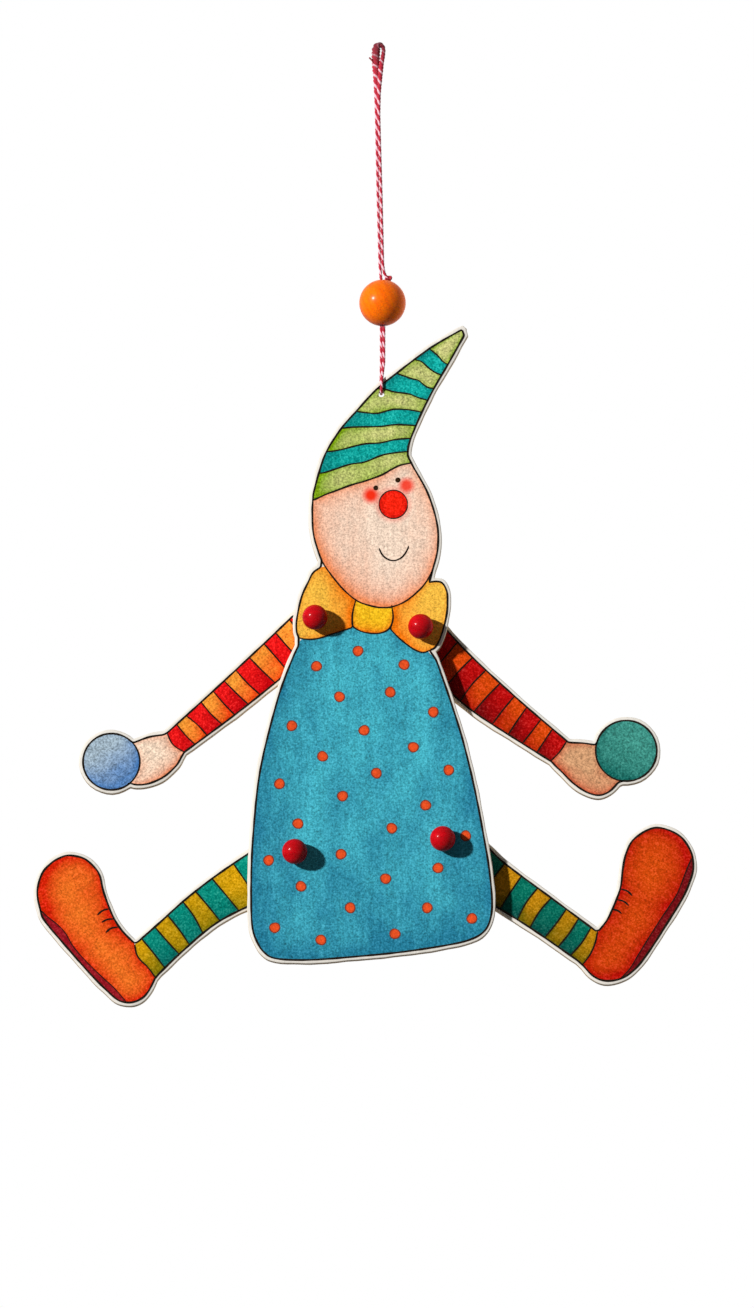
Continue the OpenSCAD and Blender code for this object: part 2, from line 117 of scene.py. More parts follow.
def calculate(tree, operation, *values):
    """One Math node of that operation."""
    return new_node(tree, "Math", dict(enumerate(values)), operation=operation)[0]


def mapped(tree, value, start, end, low=0.0, high=1.0, **settings):
    """A value that goes from start to end, mapped to go from low to high."""
    inputs = {"Value": value, "From Min": start, "From Max": end, "To Min": low, "To Max": high}
    return new_node(tree, "MapRange", inputs, **settings)[0]


# %% Light the toy
def sun_lamp(name, energy, direction, angle, glints=False):
    """A sun that shines along a direction, as wide in degrees as the angle says."""
    lamp = new_object(name, bpy.data.lights.new(name, "SUN"))
    lamp.data.energy = energy
    lamp.data.angle = np.radians(angle)
    lamp.rotation_euler = Vector(direction).to_track_quat("-Z", "Y").to_euler()
    lamp.visible_glossy = glints


sun_lamp("window_light", 4.5, (0.714, 0.643, -0.278), 3.5, glints=True)
sun_lamp("side_light", 2.0, (-0.84, -0.5, -0.2), 50)
sun_lamp("back_light", 2.4, (-0.1, -0.93, -0.35), 8)

world = bpy.data.worlds.new("pale_room")
world.use_nodes = True
room = world.node_tree
room.nodes.clear()
rays = new_node(room, "LightPath")
seen = rays["Is Camera Ray"]
for ray in ("Is Glossy Ray", "Is Transmission Ray"):
    seen = calculate(room, "MAXIMUM", seen, rays[ray])
fill = 0.1
white = (1, 1, 1, 1)
backdrop = new_node(room, "Background", {"Strength": mapped(room, seen, 0, 1, low=fill), "Color": white})
new_node(room, "OutputWorld", {"Surface": backdrop[0]})
bpy.context.scene.world = world
bpy.context.scene.view_settings.view_transform = "Standard"
print("lamps", [lamp.name for lamp in bpy.data.lights], "fill", fill)

# %% [markdown]
# ## Shapes as whole arrays
# Every outline of the toy is a short list of points, in millimetres in the XZ plane, joined by
# smooth curves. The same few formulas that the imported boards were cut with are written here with
# numpy, so that the sanded boards, the paint and the ink all follow one outline.

# %% Curves
def smooth(points):
    """A Catmull-Rom curve: between b and c, with neighbours a and d, it is half of
    2b + (c - a)t + (2a - 5b + 4c - d)t² + (3b - a - 3c + d)t³."""
    steps = 5
    p = np.asarray(points, float)
    last = len(p) - 1
    a, b, c, d = (p[np.clip(np.arange(last) + k, 0, last)][:, None] for k in (-1, 0, 1, 2))
    t = (np.arange(steps) / steps)[None, :, None]
    runs = (2 * b + (c - a) * t + (2 * a - 5 * b + 4 * c - d) * t**2 + (3 * b - a - 3 * c + d) * t**3) / 2
    return np.vstack([runs.reshape(-1, p.shape[1]), p[-1:]])


def heading(degrees):
    """The unit vector of an angle: cos a, sin a."""
    a = np.radians(degrees)
    return np.stack([np.cos(a), np.sin(a)], -1)


def arc(centre, radius, start, end, steps=24):
    """Points at equal turns on a circle: centre + radius (cos a, sin a), angles in degrees."""
    return np.asarray(centre) + radius * heading(np.linspace(start, end, steps + 1))


def circle(centre, radius, count=60):
    """The points of a whole circle, each once."""
    return arc(centre, radius, 0, 360, count)[:-1]


def unit(v):
    """Each vector divided by its length."""
    return v / np.maximum(np.linalg.norm(v, axis=-1, keepdims=True), 1e-9)


def run_along(line):
    """How far along a line each of its points lies."""
    return np.concatenate([[0], np.cumsum(np.linalg.norm(np.diff(line, axis=0), axis=1))])


def spread(line, count):
    """A line's points moved along it until they lie at equal distances."""
    line = np.asarray(line, float)
    run = run_along(line)
    at = np.linspace(0, run[-1], count)
    return np.stack([np.interp(at, run, column) for column in line.T], 1)


def apart(points, outline):
    """How far each point lies from a closed outline: the least distance to any of its stretches."""
    a, ab = outline, np.roll(outline, -1, 0) - outline
    off = points[:, None] - a
    t = np.clip((off * ab).sum(2) / np.maximum((ab * ab).sum(1), 1e-12), 0, 1)
    return np.linalg.norm(off - t[..., None] * ab, axis=2).min(1)


def moved_out(outline, d):
    """An anticlockwise outline moved outwards by d along the mean of its neighbours' normals."""
    back, on = unit(outline - np.roll(outline, 1, 0)), unit(np.roll(outline, -1, 0) - outline)
    m = np.stack([back[:, 1] + on[:, 1], -back[:, 0] - on[:, 0]], 1)
    return outline + m * d * np.minimum(2 / (m * m).sum(1), 1)[:, None]


def grown(outline, d):
    """moved_out, without the points that come nearer than d in a hollow corner."""
    out = moved_out(outline, d)
    return out[apart(out, outline) > 0.999 * d]


# %% [markdown]
# ## From arrays to pieces
# A shell is a set of points with the faces between them, a material, and a number for each point:
# how deep the colour is there, or how far through the board the point lies. One call lays several
# shells into one mesh, hides the plain solid that the piece stands for, and lets it ride on the
# same body.

# %% Make a piece
def grid_faces(rows, columns, wrap_rows=False, wrap_columns=False):
    """The four-sided faces of a grid whose point (i, j) is number i * columns + j."""
    i = np.arange(rows if wrap_rows else rows - 1)[:, None]
    j = np.arange(columns if wrap_columns else columns - 1)[None]
    i2, j2 = (i + 1) % rows, (j + 1) % columns
    quads = np.stack([i * columns + j, i2 * columns + j, i2 * columns + j2, i * columns + j2], -1)
    return quads.reshape(-1, 4).tolist()


sharp_from = np.radians(35)


def make_piece(name, shells, nodes=(), body=None, flat=False, closed=False):
    """Stacks the shells' points and faces into one mesh in metres. Its faces are turned outwards
    where the piece is closed, and towards the front where it is flat."""
    starts = np.cumsum([0] + [len(s["points"]) for s in shells]).tolist()
    finishes = list(dict.fromkeys(s["finish"] for s in shells))
    faces = [[n + start for n in face] for s, start in zip(shells, starts) for face in s["faces"]]
    mesh = bpy.data.meshes.new(name)
    mesh.from_pydata((np.vstack([s["points"] for s in shells]) * MM).tolist(), [], faces)
    for finish in finishes:
        mesh.materials.append(finish)
    which = np.concatenate([np.full(len(s["faces"]), finishes.index(s["finish"])) for s in shells])
    mesh.polygons.foreach_set("material_index", which.astype(np.int32))
    marks = np.concatenate([s["mark"] for s in shells]).astype(np.float32)
    mesh.attributes.new("mark", "FLOAT", "POINT").data.foreach_set("value", marks)
    if flat:
        normals = np.zeros(len(faces) * 3, np.float32)
        mesh.polygons.foreach_get("normal", normals)
        order = [face[::-1] if back else face for face, back in zip(faces, normals[1::3] > 0)]
        mesh.loops.foreach_set("vertex_index", np.concatenate(order).astype(np.int32))
    mesh.update()
    mesh.validate()
    mesh.shade_smooth()
    mesh.set_sharp_from_angle(angle=sharp_from)
    if closed:
        shape = bmesh.new()
        shape.from_mesh(mesh)
        bmesh.ops.recalc_face_normals(shape, faces=shape.faces)
        shape.to_mesh(mesh)
        shape.free()
    piece = new_object(name, mesh)
    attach(piece, body or frame["nodes"][nodes[0]]["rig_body"])
    if nodes:
        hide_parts(*nodes)
    print(f"{name}: {len(mesh.vertices)} points, {len(mesh.polygons)} faces")
    return piece


# %% [markdown]
# ## Birch, paint and ink as shaders
# The toy is birch plywood, and its grain shows through the thin paint. So one node group gives the
# grain, and another gives a wash of watercolour: a light colour and a deep one, mixed by the mark
# that each point carries, clouded by a slow noise, speckled by the tooth of the wood.

# %% Node groups
def new_group(name, inputs, outputs):
    """A shader node group with named sockets. Gives the group, its inputs and its outputs."""
    group = bpy.data.node_groups.new(name, "ShaderNodeTree")
    for label, (kind, value) in inputs.items():
        socket = group.interface.new_socket(label, in_out="INPUT", socket_type="NodeSocket" + kind)
        socket.default_value = value
    for label, kind in outputs.items():
        group.interface.new_socket(label, in_out="OUTPUT", socket_type="NodeSocket" + kind)
    return group, group.nodes.new("NodeGroupInput").outputs, group.nodes.new("NodeGroupOutput").inputs


def place_in(tree):
    """A point's own place on the object, in metres."""
    return new_node(tree, "TexCoord")["Object"]


def mark_of(tree):
    """The mark that each point carries."""
    return new_node(tree, "Attribute", attribute_name="mark")["Fac"]


def laid_along(tree, turn, stretch):
    """A point's place, turned about the toy's depth, then stretched by a scale for each axis."""
    along = new_node(tree, "VectorRotate", {"Vector": place_in(tree), "Angle": turn}, rotation_type="Y_AXIS")
    return new_node(tree, "Mapping", {"Vector": along[0], "Scale": stretch})[0]


def noise(tree, at, scale, detail=2.0, **more):
    """A noise, finer as its scale grows."""
    return new_node(tree, "TexNoise", {"Vector": at, "Scale": scale, "Detail": detail, **more})[0]


def blend(tree, factor, a, b):
    """A mix of two colours."""
    return new_node(tree, "Mix", {0: factor, 6: a, 7: b}, data_type="RGBA")[2]


def shaded(tree, colour, value):
    """A colour whose brightness is multiplied by a value."""
    return new_node(tree, "HueSaturation", {"Value": value, "Color": colour})[0]


birch, given, gives = new_group(
    "Birch grain", {"Turn": ("Float", 0.0)}, {"Streak": "Float", "Relief": "Float"}
)
streak = noise(birch, laid_along(birch, given["Turn"], (700, 350, 25)), 1.0)
fibre = noise(birch, laid_along(birch, given["Turn"], (2400, 900, 150)), 1.0)
birch.links.new(streak, gives["Streak"])
birch.links.new(calculate(birch, "ADD", streak, fibre), gives["Relief"])


def birch_in(tree, turn=0.0):
    """The birch at a turn: its streaks, and its relief of streaks and fibres."""
    return new_node(tree, "Group", {"Turn": turn}, node_tree=birch)


paint, given, gives = new_group(
    "Watercolour",
    {
        "Wash": ("Color", (1, 1, 1, 1)), "Deep": ("Color", (0, 0, 0, 1)), "Mark": ("Float", 0.0),
        "Cloud": ("Float", 0.5), "Grain": ("Float", 0.5), "Turn": ("Float", 0.0),
    },
    {"Colour": "Color", "Height": "Float"},
)
cloud = noise(paint, laid_along(paint, given["Turn"], (110, 110, 60)), 1.0, detail=5.0, Roughness=0.65)
clouded = calculate(paint, "SUBTRACT", cloud, 0.5)
clouded = calculate(paint, "MULTIPLY_ADD", clouded, given["Cloud"], given["Mark"])
colour = blend(paint, clouded, given["Wash"], given["Deep"])
tooth = noise(paint, place_in(paint), 1800.0, Roughness=0.6)
wood = calculate(paint, "MULTIPLY", birch_in(paint, given["Turn"])["Relief"], 0.4)
relief = calculate(paint, "MULTIPLY_ADD", tooth, 2.2, wood)
speckle = calculate(paint, "MULTIPLY", calculate(paint, "SUBTRACT", relief, 1.5), given["Grain"])
thin = calculate(paint, "MULTIPLY", calculate(paint, "SUBTRACT", speckle, 0.05), 0.05)
bare = (0.85, 0.8, 0.7, 1)
shown = shaded(paint, blend(paint, thin, colour, bare), calculate(paint, "ADD", speckle, 1.0))
paint.links.new(shown, gives["Colour"])
paint.links.new(relief, gives["Height"])
print("groups:", [g.name for g in bpy.data.node_groups])


# %% Finishes
def srgb(r, g, b):
    """A screen colour from 0 to 255 as the linear colour that a shader takes."""
    c = np.array([r, g, b]) / 255
    return (*np.where(c <= 0.04045, c / 12.92, ((c + 0.055) / 1.055) ** 2.4).tolist(), 1.0)


def new_finish(name, **plain):
    """A material with its shader's plain values set. Gives the material, its tree and its shader."""
    finish = bpy.data.materials.new(name)
    finish.use_nodes = True
    shader = finish.node_tree.nodes["Principled BSDF"]
    for label, value in plain.items():
        shader.inputs[label.replace("_", " ")].default_value = value
    return finish, finish.node_tree, shader


def cover(tree, shader, colour, height, strength, depth):
    """Gives the shader its colour, and bumps of that height and of that depth in metres."""
    bump = new_node(tree, "Bump", {"Height": height, "Strength": strength, "Distance": depth})[0]
    tree.links.new(colour, shader.inputs["Base Color"])
    tree.links.new(bump, shader.inputs["Normal"])


def watercolour(name, wash, deep, cloud=1.0, grain=0.9, turn=0.0):
    """A paint: the wash where it is thin, the deep colour where it has gathered."""
    finish, tree, shader = new_finish(name, Roughness=0.6, Specular_IOR_Level=0.03)
    look = {"Wash": srgb(*wash), "Deep": srgb(*deep), "Cloud": cloud, "Grain": grain, "Turn": turn}
    mixed = new_node(tree, "Group", {"Mark": mark_of(tree), **look}, node_tree=paint)
    cover(tree, shader, mixed["Colour"], mixed["Height"], 0.35, 0.00003)
    return finish


# %% [markdown]
# ## The body board
# The board is sawn from 4 mm plywood a little outside the painted outline, and its edges are
# sanded round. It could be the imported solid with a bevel, but a bevel on loose triangles tears. Here
# the outline is carried round a profile instead: in from the edge on the front, out round the
# corner, back through the layers, and in again.

# %% The body's outline
hat_hole = np.array([1.1, -114.6])
head_at = hat_hole + [-2, -46.4]
bow_at = head_at + [-0.9, -27.5]
dress_at = bow_at + [-1.7, -1.5]
shoulder_mid = bow_at + [-1.5, -1.4]
hip_mid = dress_at + [0.5, -72.9]

pegs = {}
for pair, middle, gap, slope in (("shoulder", shoulder_mid, 34.5, -5), ("hip", hip_mid, 48.2, 5)):
    half = gap / 2 * heading(slope)
    pegs[pair + "_left"], pegs[pair + "_right"] = middle - half, middle + half

hat_back = [
    [26.4, 20.9], [25.2, 20.6], [15.6, 14.9], [4.8, 6.7], [-1.6, 1.5], [-8, -5.5],
    [-13.1, -11.4], [-17.9, -19], [-20.4, -26.1], [-22.2, -33],
]
hat_front = [[8.6, -20.5], [8.7, -17.8], [9.8, -14], [13.1, -6.2], [17, 1.6], [21.6, 9.6], [27, 19.3]]
head_left = [[-20.5, 8.6], [-20.2, 1], [-18.7, -4.9], [-17.4, -8.4]]
head_right = [[18.6, -11.6], [20.1, -6], [20.5, -1], [20.2, 3.2], [18.8, 9], [16.4, 15.3], [12.6, 22]]
bow_left = [[-16.9, 16.9], [-19.3, 15.2], [-20.8, 12.3], [-23.1, 7.1], [-24.6, 0], [-24.7, -4], [-24, -6]]
bow_right = [
    [18.6, -10.3], [20.3, -9.4], [21.8, -7], [23.2, -2.8], [24.2, 2], [24.4, 5.9], [24.2, 9],
    [22.8, 11.7], [20.8, 12.3], [18.5, 12],
]
dress_edge = [
    [-22.4, -7.3], [-24.6, -12.2], [-28, -21.2], [-30.6, -30.2], [-33.6, -42.2], [-35.5, -52.7],
    [-36.7, -64.7], [-37.5, -76.7], [-37.7, -88.6], [-37.4, -98.4], [-36.1, -103.4],
    [-33.5, -107.5], [-29.4, -109.6], [-18.6, -110], [-3.6, -108.9], [11.4, -107.4],
    [26.4, -105.1], [33.9, -103.2], [38.2, -100.4], [40.1, -96.1], [40.5, -90.1],
    [39.5, -79.7], [38, -70.7], [36.1, -60.2], [33.9, -49.7], [30.9, -37.7], [27.9, -27.9],
    [24.9, -19], [22.4, -12],
]
body_outline = np.vstack([
    smooth(hat_back) + hat_hole, smooth(head_left) + head_at, smooth(bow_left) + bow_at,
    smooth(dress_edge) + dress_at, smooth(bow_right) + bow_at, smooth(head_right) + head_at,
    smooth(hat_front) + hat_hole,
])
print("body outline:", len(body_outline), "points")

# %% [markdown]
# ## Bare plywood
# Birch plywood is pale on its faces and shows its layers on its sawn edge: two outer plies with
# their grain along the board, one between them with its grain across, and a dark glue line on each
# side of it. The mark on each point says how far through the board it lies, from 0 to 1.

# %% The plywood's material
def plywood(name, turn=0.0):
    """Limewashed front, layered edge and bare back, by the mark from front to back."""
    finish, tree, shader = new_finish(name, Roughness=0.65, Specular_IOR_Level=0.15)
    plies = new_node(tree, "ValToRGB", {"Fac": mark_of(tree)})[0]
    ramp = plies.node.color_ramp
    stops = {
        0.0: (228, 222, 212), 0.012: (228, 222, 212), 0.06: (214, 199, 173), 0.3: (208, 191, 162),
        0.33: (120, 92, 62), 0.36: (176, 144, 104), 0.64: (180, 148, 108), 0.67: (120, 92, 62),
        0.7: (200, 176, 138), 0.94: (206, 184, 146), 0.99: (221, 199, 160), 1.0: (221, 199, 160),
    }
    for count, (stop, colour) in enumerate(stops.items()):
        element = ramp.elements[count] if count < 2 else ramp.elements.new(stop)
        element.position = stop
        element.color = srgb(*colour)
    relief = birch_in(tree, turn)["Relief"]
    shade = calculate(tree, "MULTIPLY_ADD", calculate(tree, "SUBTRACT", relief, 1.0), 0.3, 1.0)
    cover(tree, shader, shaded(tree, plies, shade), relief, 0.4, 0.00004)
    return finish


# %% Saw and sand the boards
rim = 1.2
ply = 4
ease = 0.35


def board(outline, holes, front, finish):
    """A sanded board as one shell. Its rings follow the sawn edge, which wavers by a tenth of a
    millimetre, moved in by ease (1 - sin a) at a depth of ease (1 - cos a) round each corner. Each
    face is filled between its ring and the holes' rings."""
    a = np.radians([0, 30, 60, 90])
    inset, depth = ease * (1 - np.sin(a)), ease * (1 - np.cos(a))
    inset, depth = np.append(inset, inset[::-1]), np.append(depth, ply - depth[::-1])
    edge = grown(outline, rim)
    run = np.cumsum(np.linalg.norm(edge - np.roll(edge, 1, 0), axis=1))
    saw = 0.06 * np.sin(run / 2.7) + 0.05 * np.sin(run / 1.3 + 1) + 0.04 * np.sin(run / 5.9 + 2)
    edge = edge + (moved_out(edge, 1) - edge) * saw[:, None]
    rings = np.stack([moved_out(edge, -d) for d in inset])
    n, m = len(edge), 32
    bores = [circle(at, radius, m) for at, radius in holes]
    xz = np.vstack([rings.reshape(-1, 2)] + [np.vstack([bore, bore]) for bore in bores])
    y = np.concatenate([np.repeat(front + depth, n)] + [np.repeat([front, front + ply], m)] * len(bores))
    first = len(depth) * n
    faces = grid_faces(len(depth), n, wrap_columns=True)
    for k in range(len(bores)):
        faces += [[q + first + 2 * k * m for q in face[::-1]] for face in grid_faces(2, m, wrap_columns=True)]
    for side, ring in ((0, rings[0]), (1, rings[-1])):
        loops = [[Vector((*p, 0)) for p in line] for line in (ring, *bores)]
        starts = [(len(depth) - 1) * n * side] + [first + (2 * k + side) * m for k in range(len(bores))]
        number = np.concatenate([np.arange(len(line)) + start for line, start in zip(loops, starts)])
        fill = number[np.array(tessellate_polygon(loops))]
        faces += fill.tolist()
    points = np.stack([xz[:, 0], y, xz[:, 1]], 1)
    return dict(points=points, faces=faces, mark=(y - front) / ply, finish=finish)


body_front, body_back = -2, -2 + ply
tight_r, loose_r, hat_hole_r = 2.03, 2.08, 1.02
body_holes = [(hat_hole, hat_hole_r)] + [(at, tight_r) for at in pegs.values()]
sawn = board(body_outline, body_holes, body_front, plywood("birch_plywood"))
make_piece("body_plywood", [sawn], ["body_board"], closed=True)

# %% [markdown]
# ## Laying the washes
# Paint is thin, so each wash is a sheet a few hundredths of a millimetre in front of the wood, and
# what was painted later lies a little further out. A round patch is a fan of rings from its edge to
# its middle, and a stripe is ruled between two lines. Each point's mark grows towards the patch's
# edge, where wet paint gathers and dries darker.

# %% Patches of paint
film = 0.03
layers = np.array([1, 1.5, 1.75, 2, 2, 2.6, 3.2])
y_wash, y_bow, y_knot, y_rim, y_face, y_mark, y_ink = body_front - film * layers


def wash_marks(points, outline, reach, pool, lean, middle, base):
    """The mark: a base, plus pool times e to the minus distance / reach, plus a slope."""
    slope = (points - middle) @ np.asarray(lean, float)
    return np.clip(base + pool * np.exp(-apart(points, outline) / reach) + slope, 0, 1)


def patch(outline, middle, finish, y, reach=0.8, pool=0.7, lean=(0, 0), base=0.0, hole=0.0, rings=12):
    """Rings between an outline and a small circle round its middle: edge (1 - s²) + inner s²."""
    outline = np.asarray(outline, float)
    inner = middle + max(hole, 0.05) * unit(outline - middle)
    s = ((np.arange(rings + 1) / rings) ** 2)[:, None, None]
    points = (outline * (1 - s) + inner * s).reshape(-1, 2)
    n = len(outline)
    faces = grid_faces(rings + 1, n, wrap_columns=True)
    if not hole:
        faces.append(list(range(rings * n, (rings + 1) * n)))
    marks = wash_marks(points, outline, reach, pool, lean, middle, base)
    return dict(points=points, faces=faces, y=y, mark=marks, finish=finish)


def stripe(start, end, finish, y, reach=0.6, pool=0.6, lean=(0, 0), base=0.0, ends=(0, 0), columns=21):
    """A stripe ruled between two lines: start(s) (1 - t) + end(s) t. Its colour also gathers at the
    two ends of the stripe, within a quarter of its length."""
    rows = 9
    start, end = spread(smooth(start), columns), spread(smooth(end), columns)
    t = ((1 - np.cos(np.linspace(0, np.pi, rows))) / 2)[:, None, None]
    points = (start * (1 - t) + end * t).reshape(-1, 2)
    outline = np.vstack([start, end[::-1]])
    marks = wash_marks(points, outline, reach, pool, lean, points.mean(0), base)
    run = np.tile(np.linspace(0, 1, columns), rows)
    marks += ends[0] * np.exp(-3.5 * run) + ends[1] * np.exp(4 * run - 4)
    return dict(points=points, faces=grid_faces(rows, columns), y=y, mark=marks, finish=finish)


def ink_line(line, width, finish, y, closed=False):
    """A pen line: a ribbon along the line, p ± n w / 2. Its width w swells and thins by nearly a
    fifth as the pen travels, and it narrows to 0.45 of its width at a free end."""
    line = np.vstack([line, line[:1]]) if closed else np.asarray(line, float)
    length = run_along(line)[-1]
    line = spread(line, max(6, int(length / 0.7)))
    run = np.linspace(0, length, len(line))
    along = unit(np.gradient(line, axis=0))
    normal = np.stack([-along[:, 1], along[:, 0]], 1)
    swell = 1 + 0.1 * np.sin(run / 2.3 + length) + 0.08 * np.sin(run / 0.9 + 2 * length)
    if not closed:
        swell *= np.clip(np.minimum(run, length - run) / width + 0.45, 0, 1)
    across = np.array([-0.5, -0.25, 0.25, 0.5])[None, :, None]
    points = line[:, None] + normal[:, None] * across * (width * swell)[:, None, None]
    marks = np.tile([1.0, 0.0, 0.0, 1.0], len(line))
    return dict(points=points.reshape(-1, 2), faces=grid_faces(len(line), 4), y=y, mark=marks, finish=finish)


def flat_piece(name, shells, body, where=np.asarray):
    """Stands flat shells up in the XZ plane, at their own depths, once their places are applied."""
    stood = []
    for shell in shells:
        x, z = where(shell["points"]).T
        stood.append({**shell, "points": np.stack([x, np.full(len(x), shell["y"]), z], 1)})
    make_piece(name, stood, body=body, flat=True)


# %% [markdown]
# ## The hat
# The pointed cap is banded in lime and blue-green, darker where the brush stopped. The twine's hole
# lies in the fifth band, so that band is a fan round the hole. The others are ruled stripes.

# %% Paint the hat
lime = watercolour("lime_wash", (214, 208, 140), (122, 160, 10), grain=1.1)
blue_green = watercolour("blue_green_wash", (14, 184, 173), (0, 130, 126), grain=1.1)
hat_lines = [
    [[24.6, 20.3], [26, 21], [26.9, 20.4], [27.1, 19.4]],
    [[15.7, 14.9], [18.5, 12.5], [20, 10.7], [21.7, 9.7]],
    [[10.6, 11.3], [13, 10.7], [15.5, 8.5], [17.7, 7], [19.7, 6.2]],
    [[4.9, 6.8], [10, 5], [12, 4.5], [15, 2.2], [17.2, 1.9]],
    [[-1.6, 1.6], [0.8, 1.7], [4, 0.7], [9, 0], [12, -1.2], [15.2, -2.1]],
    [[-8.2, -5.7], [-5.5, -6.1], [-1.5, -6.4], [2, -5.5], [4.5, -5], [9, -5.2], [13.2, -6]],
    [[-13.1, -11.4], [-9.5, -10.9], [-0.5, -10.7], [4.5, -10.1], [11.3, -10.4]],
    [[-17.9, -19], [-13.5, -18.4], [-6, -16.5], [-0.5, -16.1], [4.5, -15], [9.6, -14.6]],
    [[-20.4, -26.1], [-18, -25.7], [-10.5, -23.2], [-5.5, -22.4], [0, -20.2], [4, -19.4], [8.7, -18.9]],
    [
        [-22.3, -35], [-18, -33], [-15, -31.9], [-10, -30], [-5.5, -28.7], [0, -26.7], [3, -25], [6, -23.5],
        [9.8, -22.7],
    ],
]
hat_lines = [np.array(line) + hat_hole for line in hat_lines]
body_paint = []
hole_band = 4
for k, (start, end) in enumerate(zip(hat_lines, hat_lines[1:])):
    finish = (lime, blue_green)[k % 2]
    if k == hole_band:
        band = np.vstack([smooth(start), smooth(end)[::-1]])
        look = dict(reach=1.6, base=0.2, lean=(-0.006, 0), hole=hat_hole_r + 0.02)
        body_paint.append(patch(band, hat_hole, finish, y_wash, **look))
    else:
        ends = {0: (0.7, 0.75), 2: (0.5, 0.6)}.get(k, (0.9, 0.55))
        look = dict(reach=1, pool=0.4, base=0.08, ends=ends, columns=33)
        body_paint.append(stripe(start, end, finish, y_wash, **look))
print("hat bands:", len(body_paint))

# %% [markdown]
# ## The face
# The face is a pale egg, warmer towards its edge, with a round red nose and two soft cheeks. The
# cheeks have no edge of their own, so they're not patches: the face's material reddens round two
# points, by the distance from each. The nose's faint halo is a third one.

# %% The face's material
def face_wash(name, wash, deep, blush, spots):
    """A watercolour with soft spots: each is (place, core radius, outer radius, strength)."""
    finish = watercolour(name, wash, deep, cloud=0.8, grain=0.75)
    tree = finish.node_tree
    shown = tree.nodes["Principled BSDF"].inputs["Base Color"]
    colour = shown.links[0].from_socket
    for at, core, outer, strength in spots:
        centre = (at[0] * MM, y_wash * MM, at[1] * MM)
        far = new_node(tree, "VectorMath", {0: place_in(tree), 1: centre}, operation="DISTANCE")["Value"]
        soft = mapped(tree, far, core * MM, outer * MM, strength, 0.0, interpolation_type="SMOOTHSTEP")
        colour = blend(tree, soft, colour, srgb(*blush))
    tree.links.new(colour, shown)
    return finish


nose_at, nose_r = head_at + [5.9, 10.1], 4.6
cheeks = [(head_at + [-1.4, 13.1], 1.0, 3.8, 1.0), (head_at + [10.2, 16.3], 1.0, 3.6, 0.94)]
halo = (nose_at, 4.4, 7.0, 0.4)
skin = face_wash("face_wash", (239, 213, 191), (236, 138, 88), (244, 48, 20), cheeks + [halo])

# %% Paint the face
nose_red = watercolour("nose_red", (250, 34, 10), (196, 6, 6), cloud=0.6, grain=0.85)
eye_brown = watercolour("eye_brown", (58, 36, 16), (34, 22, 12))
chin = [
    [-16.1, -10.6], [-13.6, -14], [-10.2, -18], [-5.7, -21.7], [-0.7, -23.4], [2.7, -23.8], [6, -23.4],
    [10.2, -21.5], [14.7, -17.7], [17.2, -14.4],
]
face_side = smooth([[-20.4, 11.4]] + head_left + chin + head_right + [[11.8, 23.6]]) + head_at
face_outline = np.vstack([face_side, smooth(hat_lines[-1])[::-1][1:-1]])
body_paint += [
    patch(face_outline, head_at + [0, -1], skin, y_face, reach=4, pool=0.95, lean=(-0.008, -0.01), rings=18),
    patch(circle(nose_at, nose_r), nose_at, nose_red, y_mark, reach=0.9, lean=(0, -0.04)),
]
for eye_at, eye_r in ((head_at + [0.2, 15.5], 0.82), (head_at + [7.4, 18.1], 0.86)):
    body_paint.append(patch(circle(eye_at, eye_r, 24), eye_at, eye_brown, y_mark, rings=4))

# %% [markdown]
# ## The bow tie and the dress
# The bow's two wings and its knot are separate patches, orange where they meet and gold in their
# middles. The dress is one large blue wash under them. Its dots are small patches of orange-red, each
# a little out of round, as a brush leaves them.

# %% Paint the bow tie
bow_gold = watercolour("bow_gold", (241, 185, 66), (236, 118, 8), grain=0.8)
knot_gold = watercolour("knot_gold", (242, 190, 28), (228, 106, 6), grain=0.8)
wing_left = bow_left + [
    [-22.8, -6.5], [-19.9, -6.7], [-16.8, -6.2], [-13.8, -5.2], [-10.7, -4.2], [-8, -3.3], [-6.5, -2.5],
    [-6.6, 0], [-6.4, 2.7], [-5.2, 5.6], [-9, 9.8], [-12.4, 13.7], [-15, 17.3],
]
wing_right = bow_right + [
    [18.1, 13.3], [15.4, 9.9], [11, 6.2], [6.8, 4.3], [6.8, 1.5], [6.6, -0.8], [5.9, -3.1],
    [7, -4.6], [8.9, -6.5], [12, -9], [14.3, -10.4], [16.6, -11],
]
bow_knot = [
    [-5.3, 6.5], [-6.3, 2.7], [-6.6, 0], [-6.4, -2.3], [-4.9, -3.5], [-2.6, -4.4], [0.5, -4.8],
    [2.8, -4.6], [4.7, -3.8], [5.8, -2.7], [6.5, -0.8], [6.7, 1.5], [6.2, 4.6], [0.5, 6],
]
for wing, middle, lean in ((wing_left, [-16, 3], (0.055, 0)), (wing_right, [16, 1], (-0.055, -0.01))):
    shape = smooth(wing) + bow_at
    body_paint.append(patch(shape, bow_at + middle, bow_gold, y_bow, reach=2.2, pool=0.8, lean=lean))
knot_shape = smooth(bow_knot) + bow_at
body_paint.append(patch(knot_shape, bow_at, knot_gold, y_knot, reach=1.4, pool=0.75, lean=(0, -0.08)))

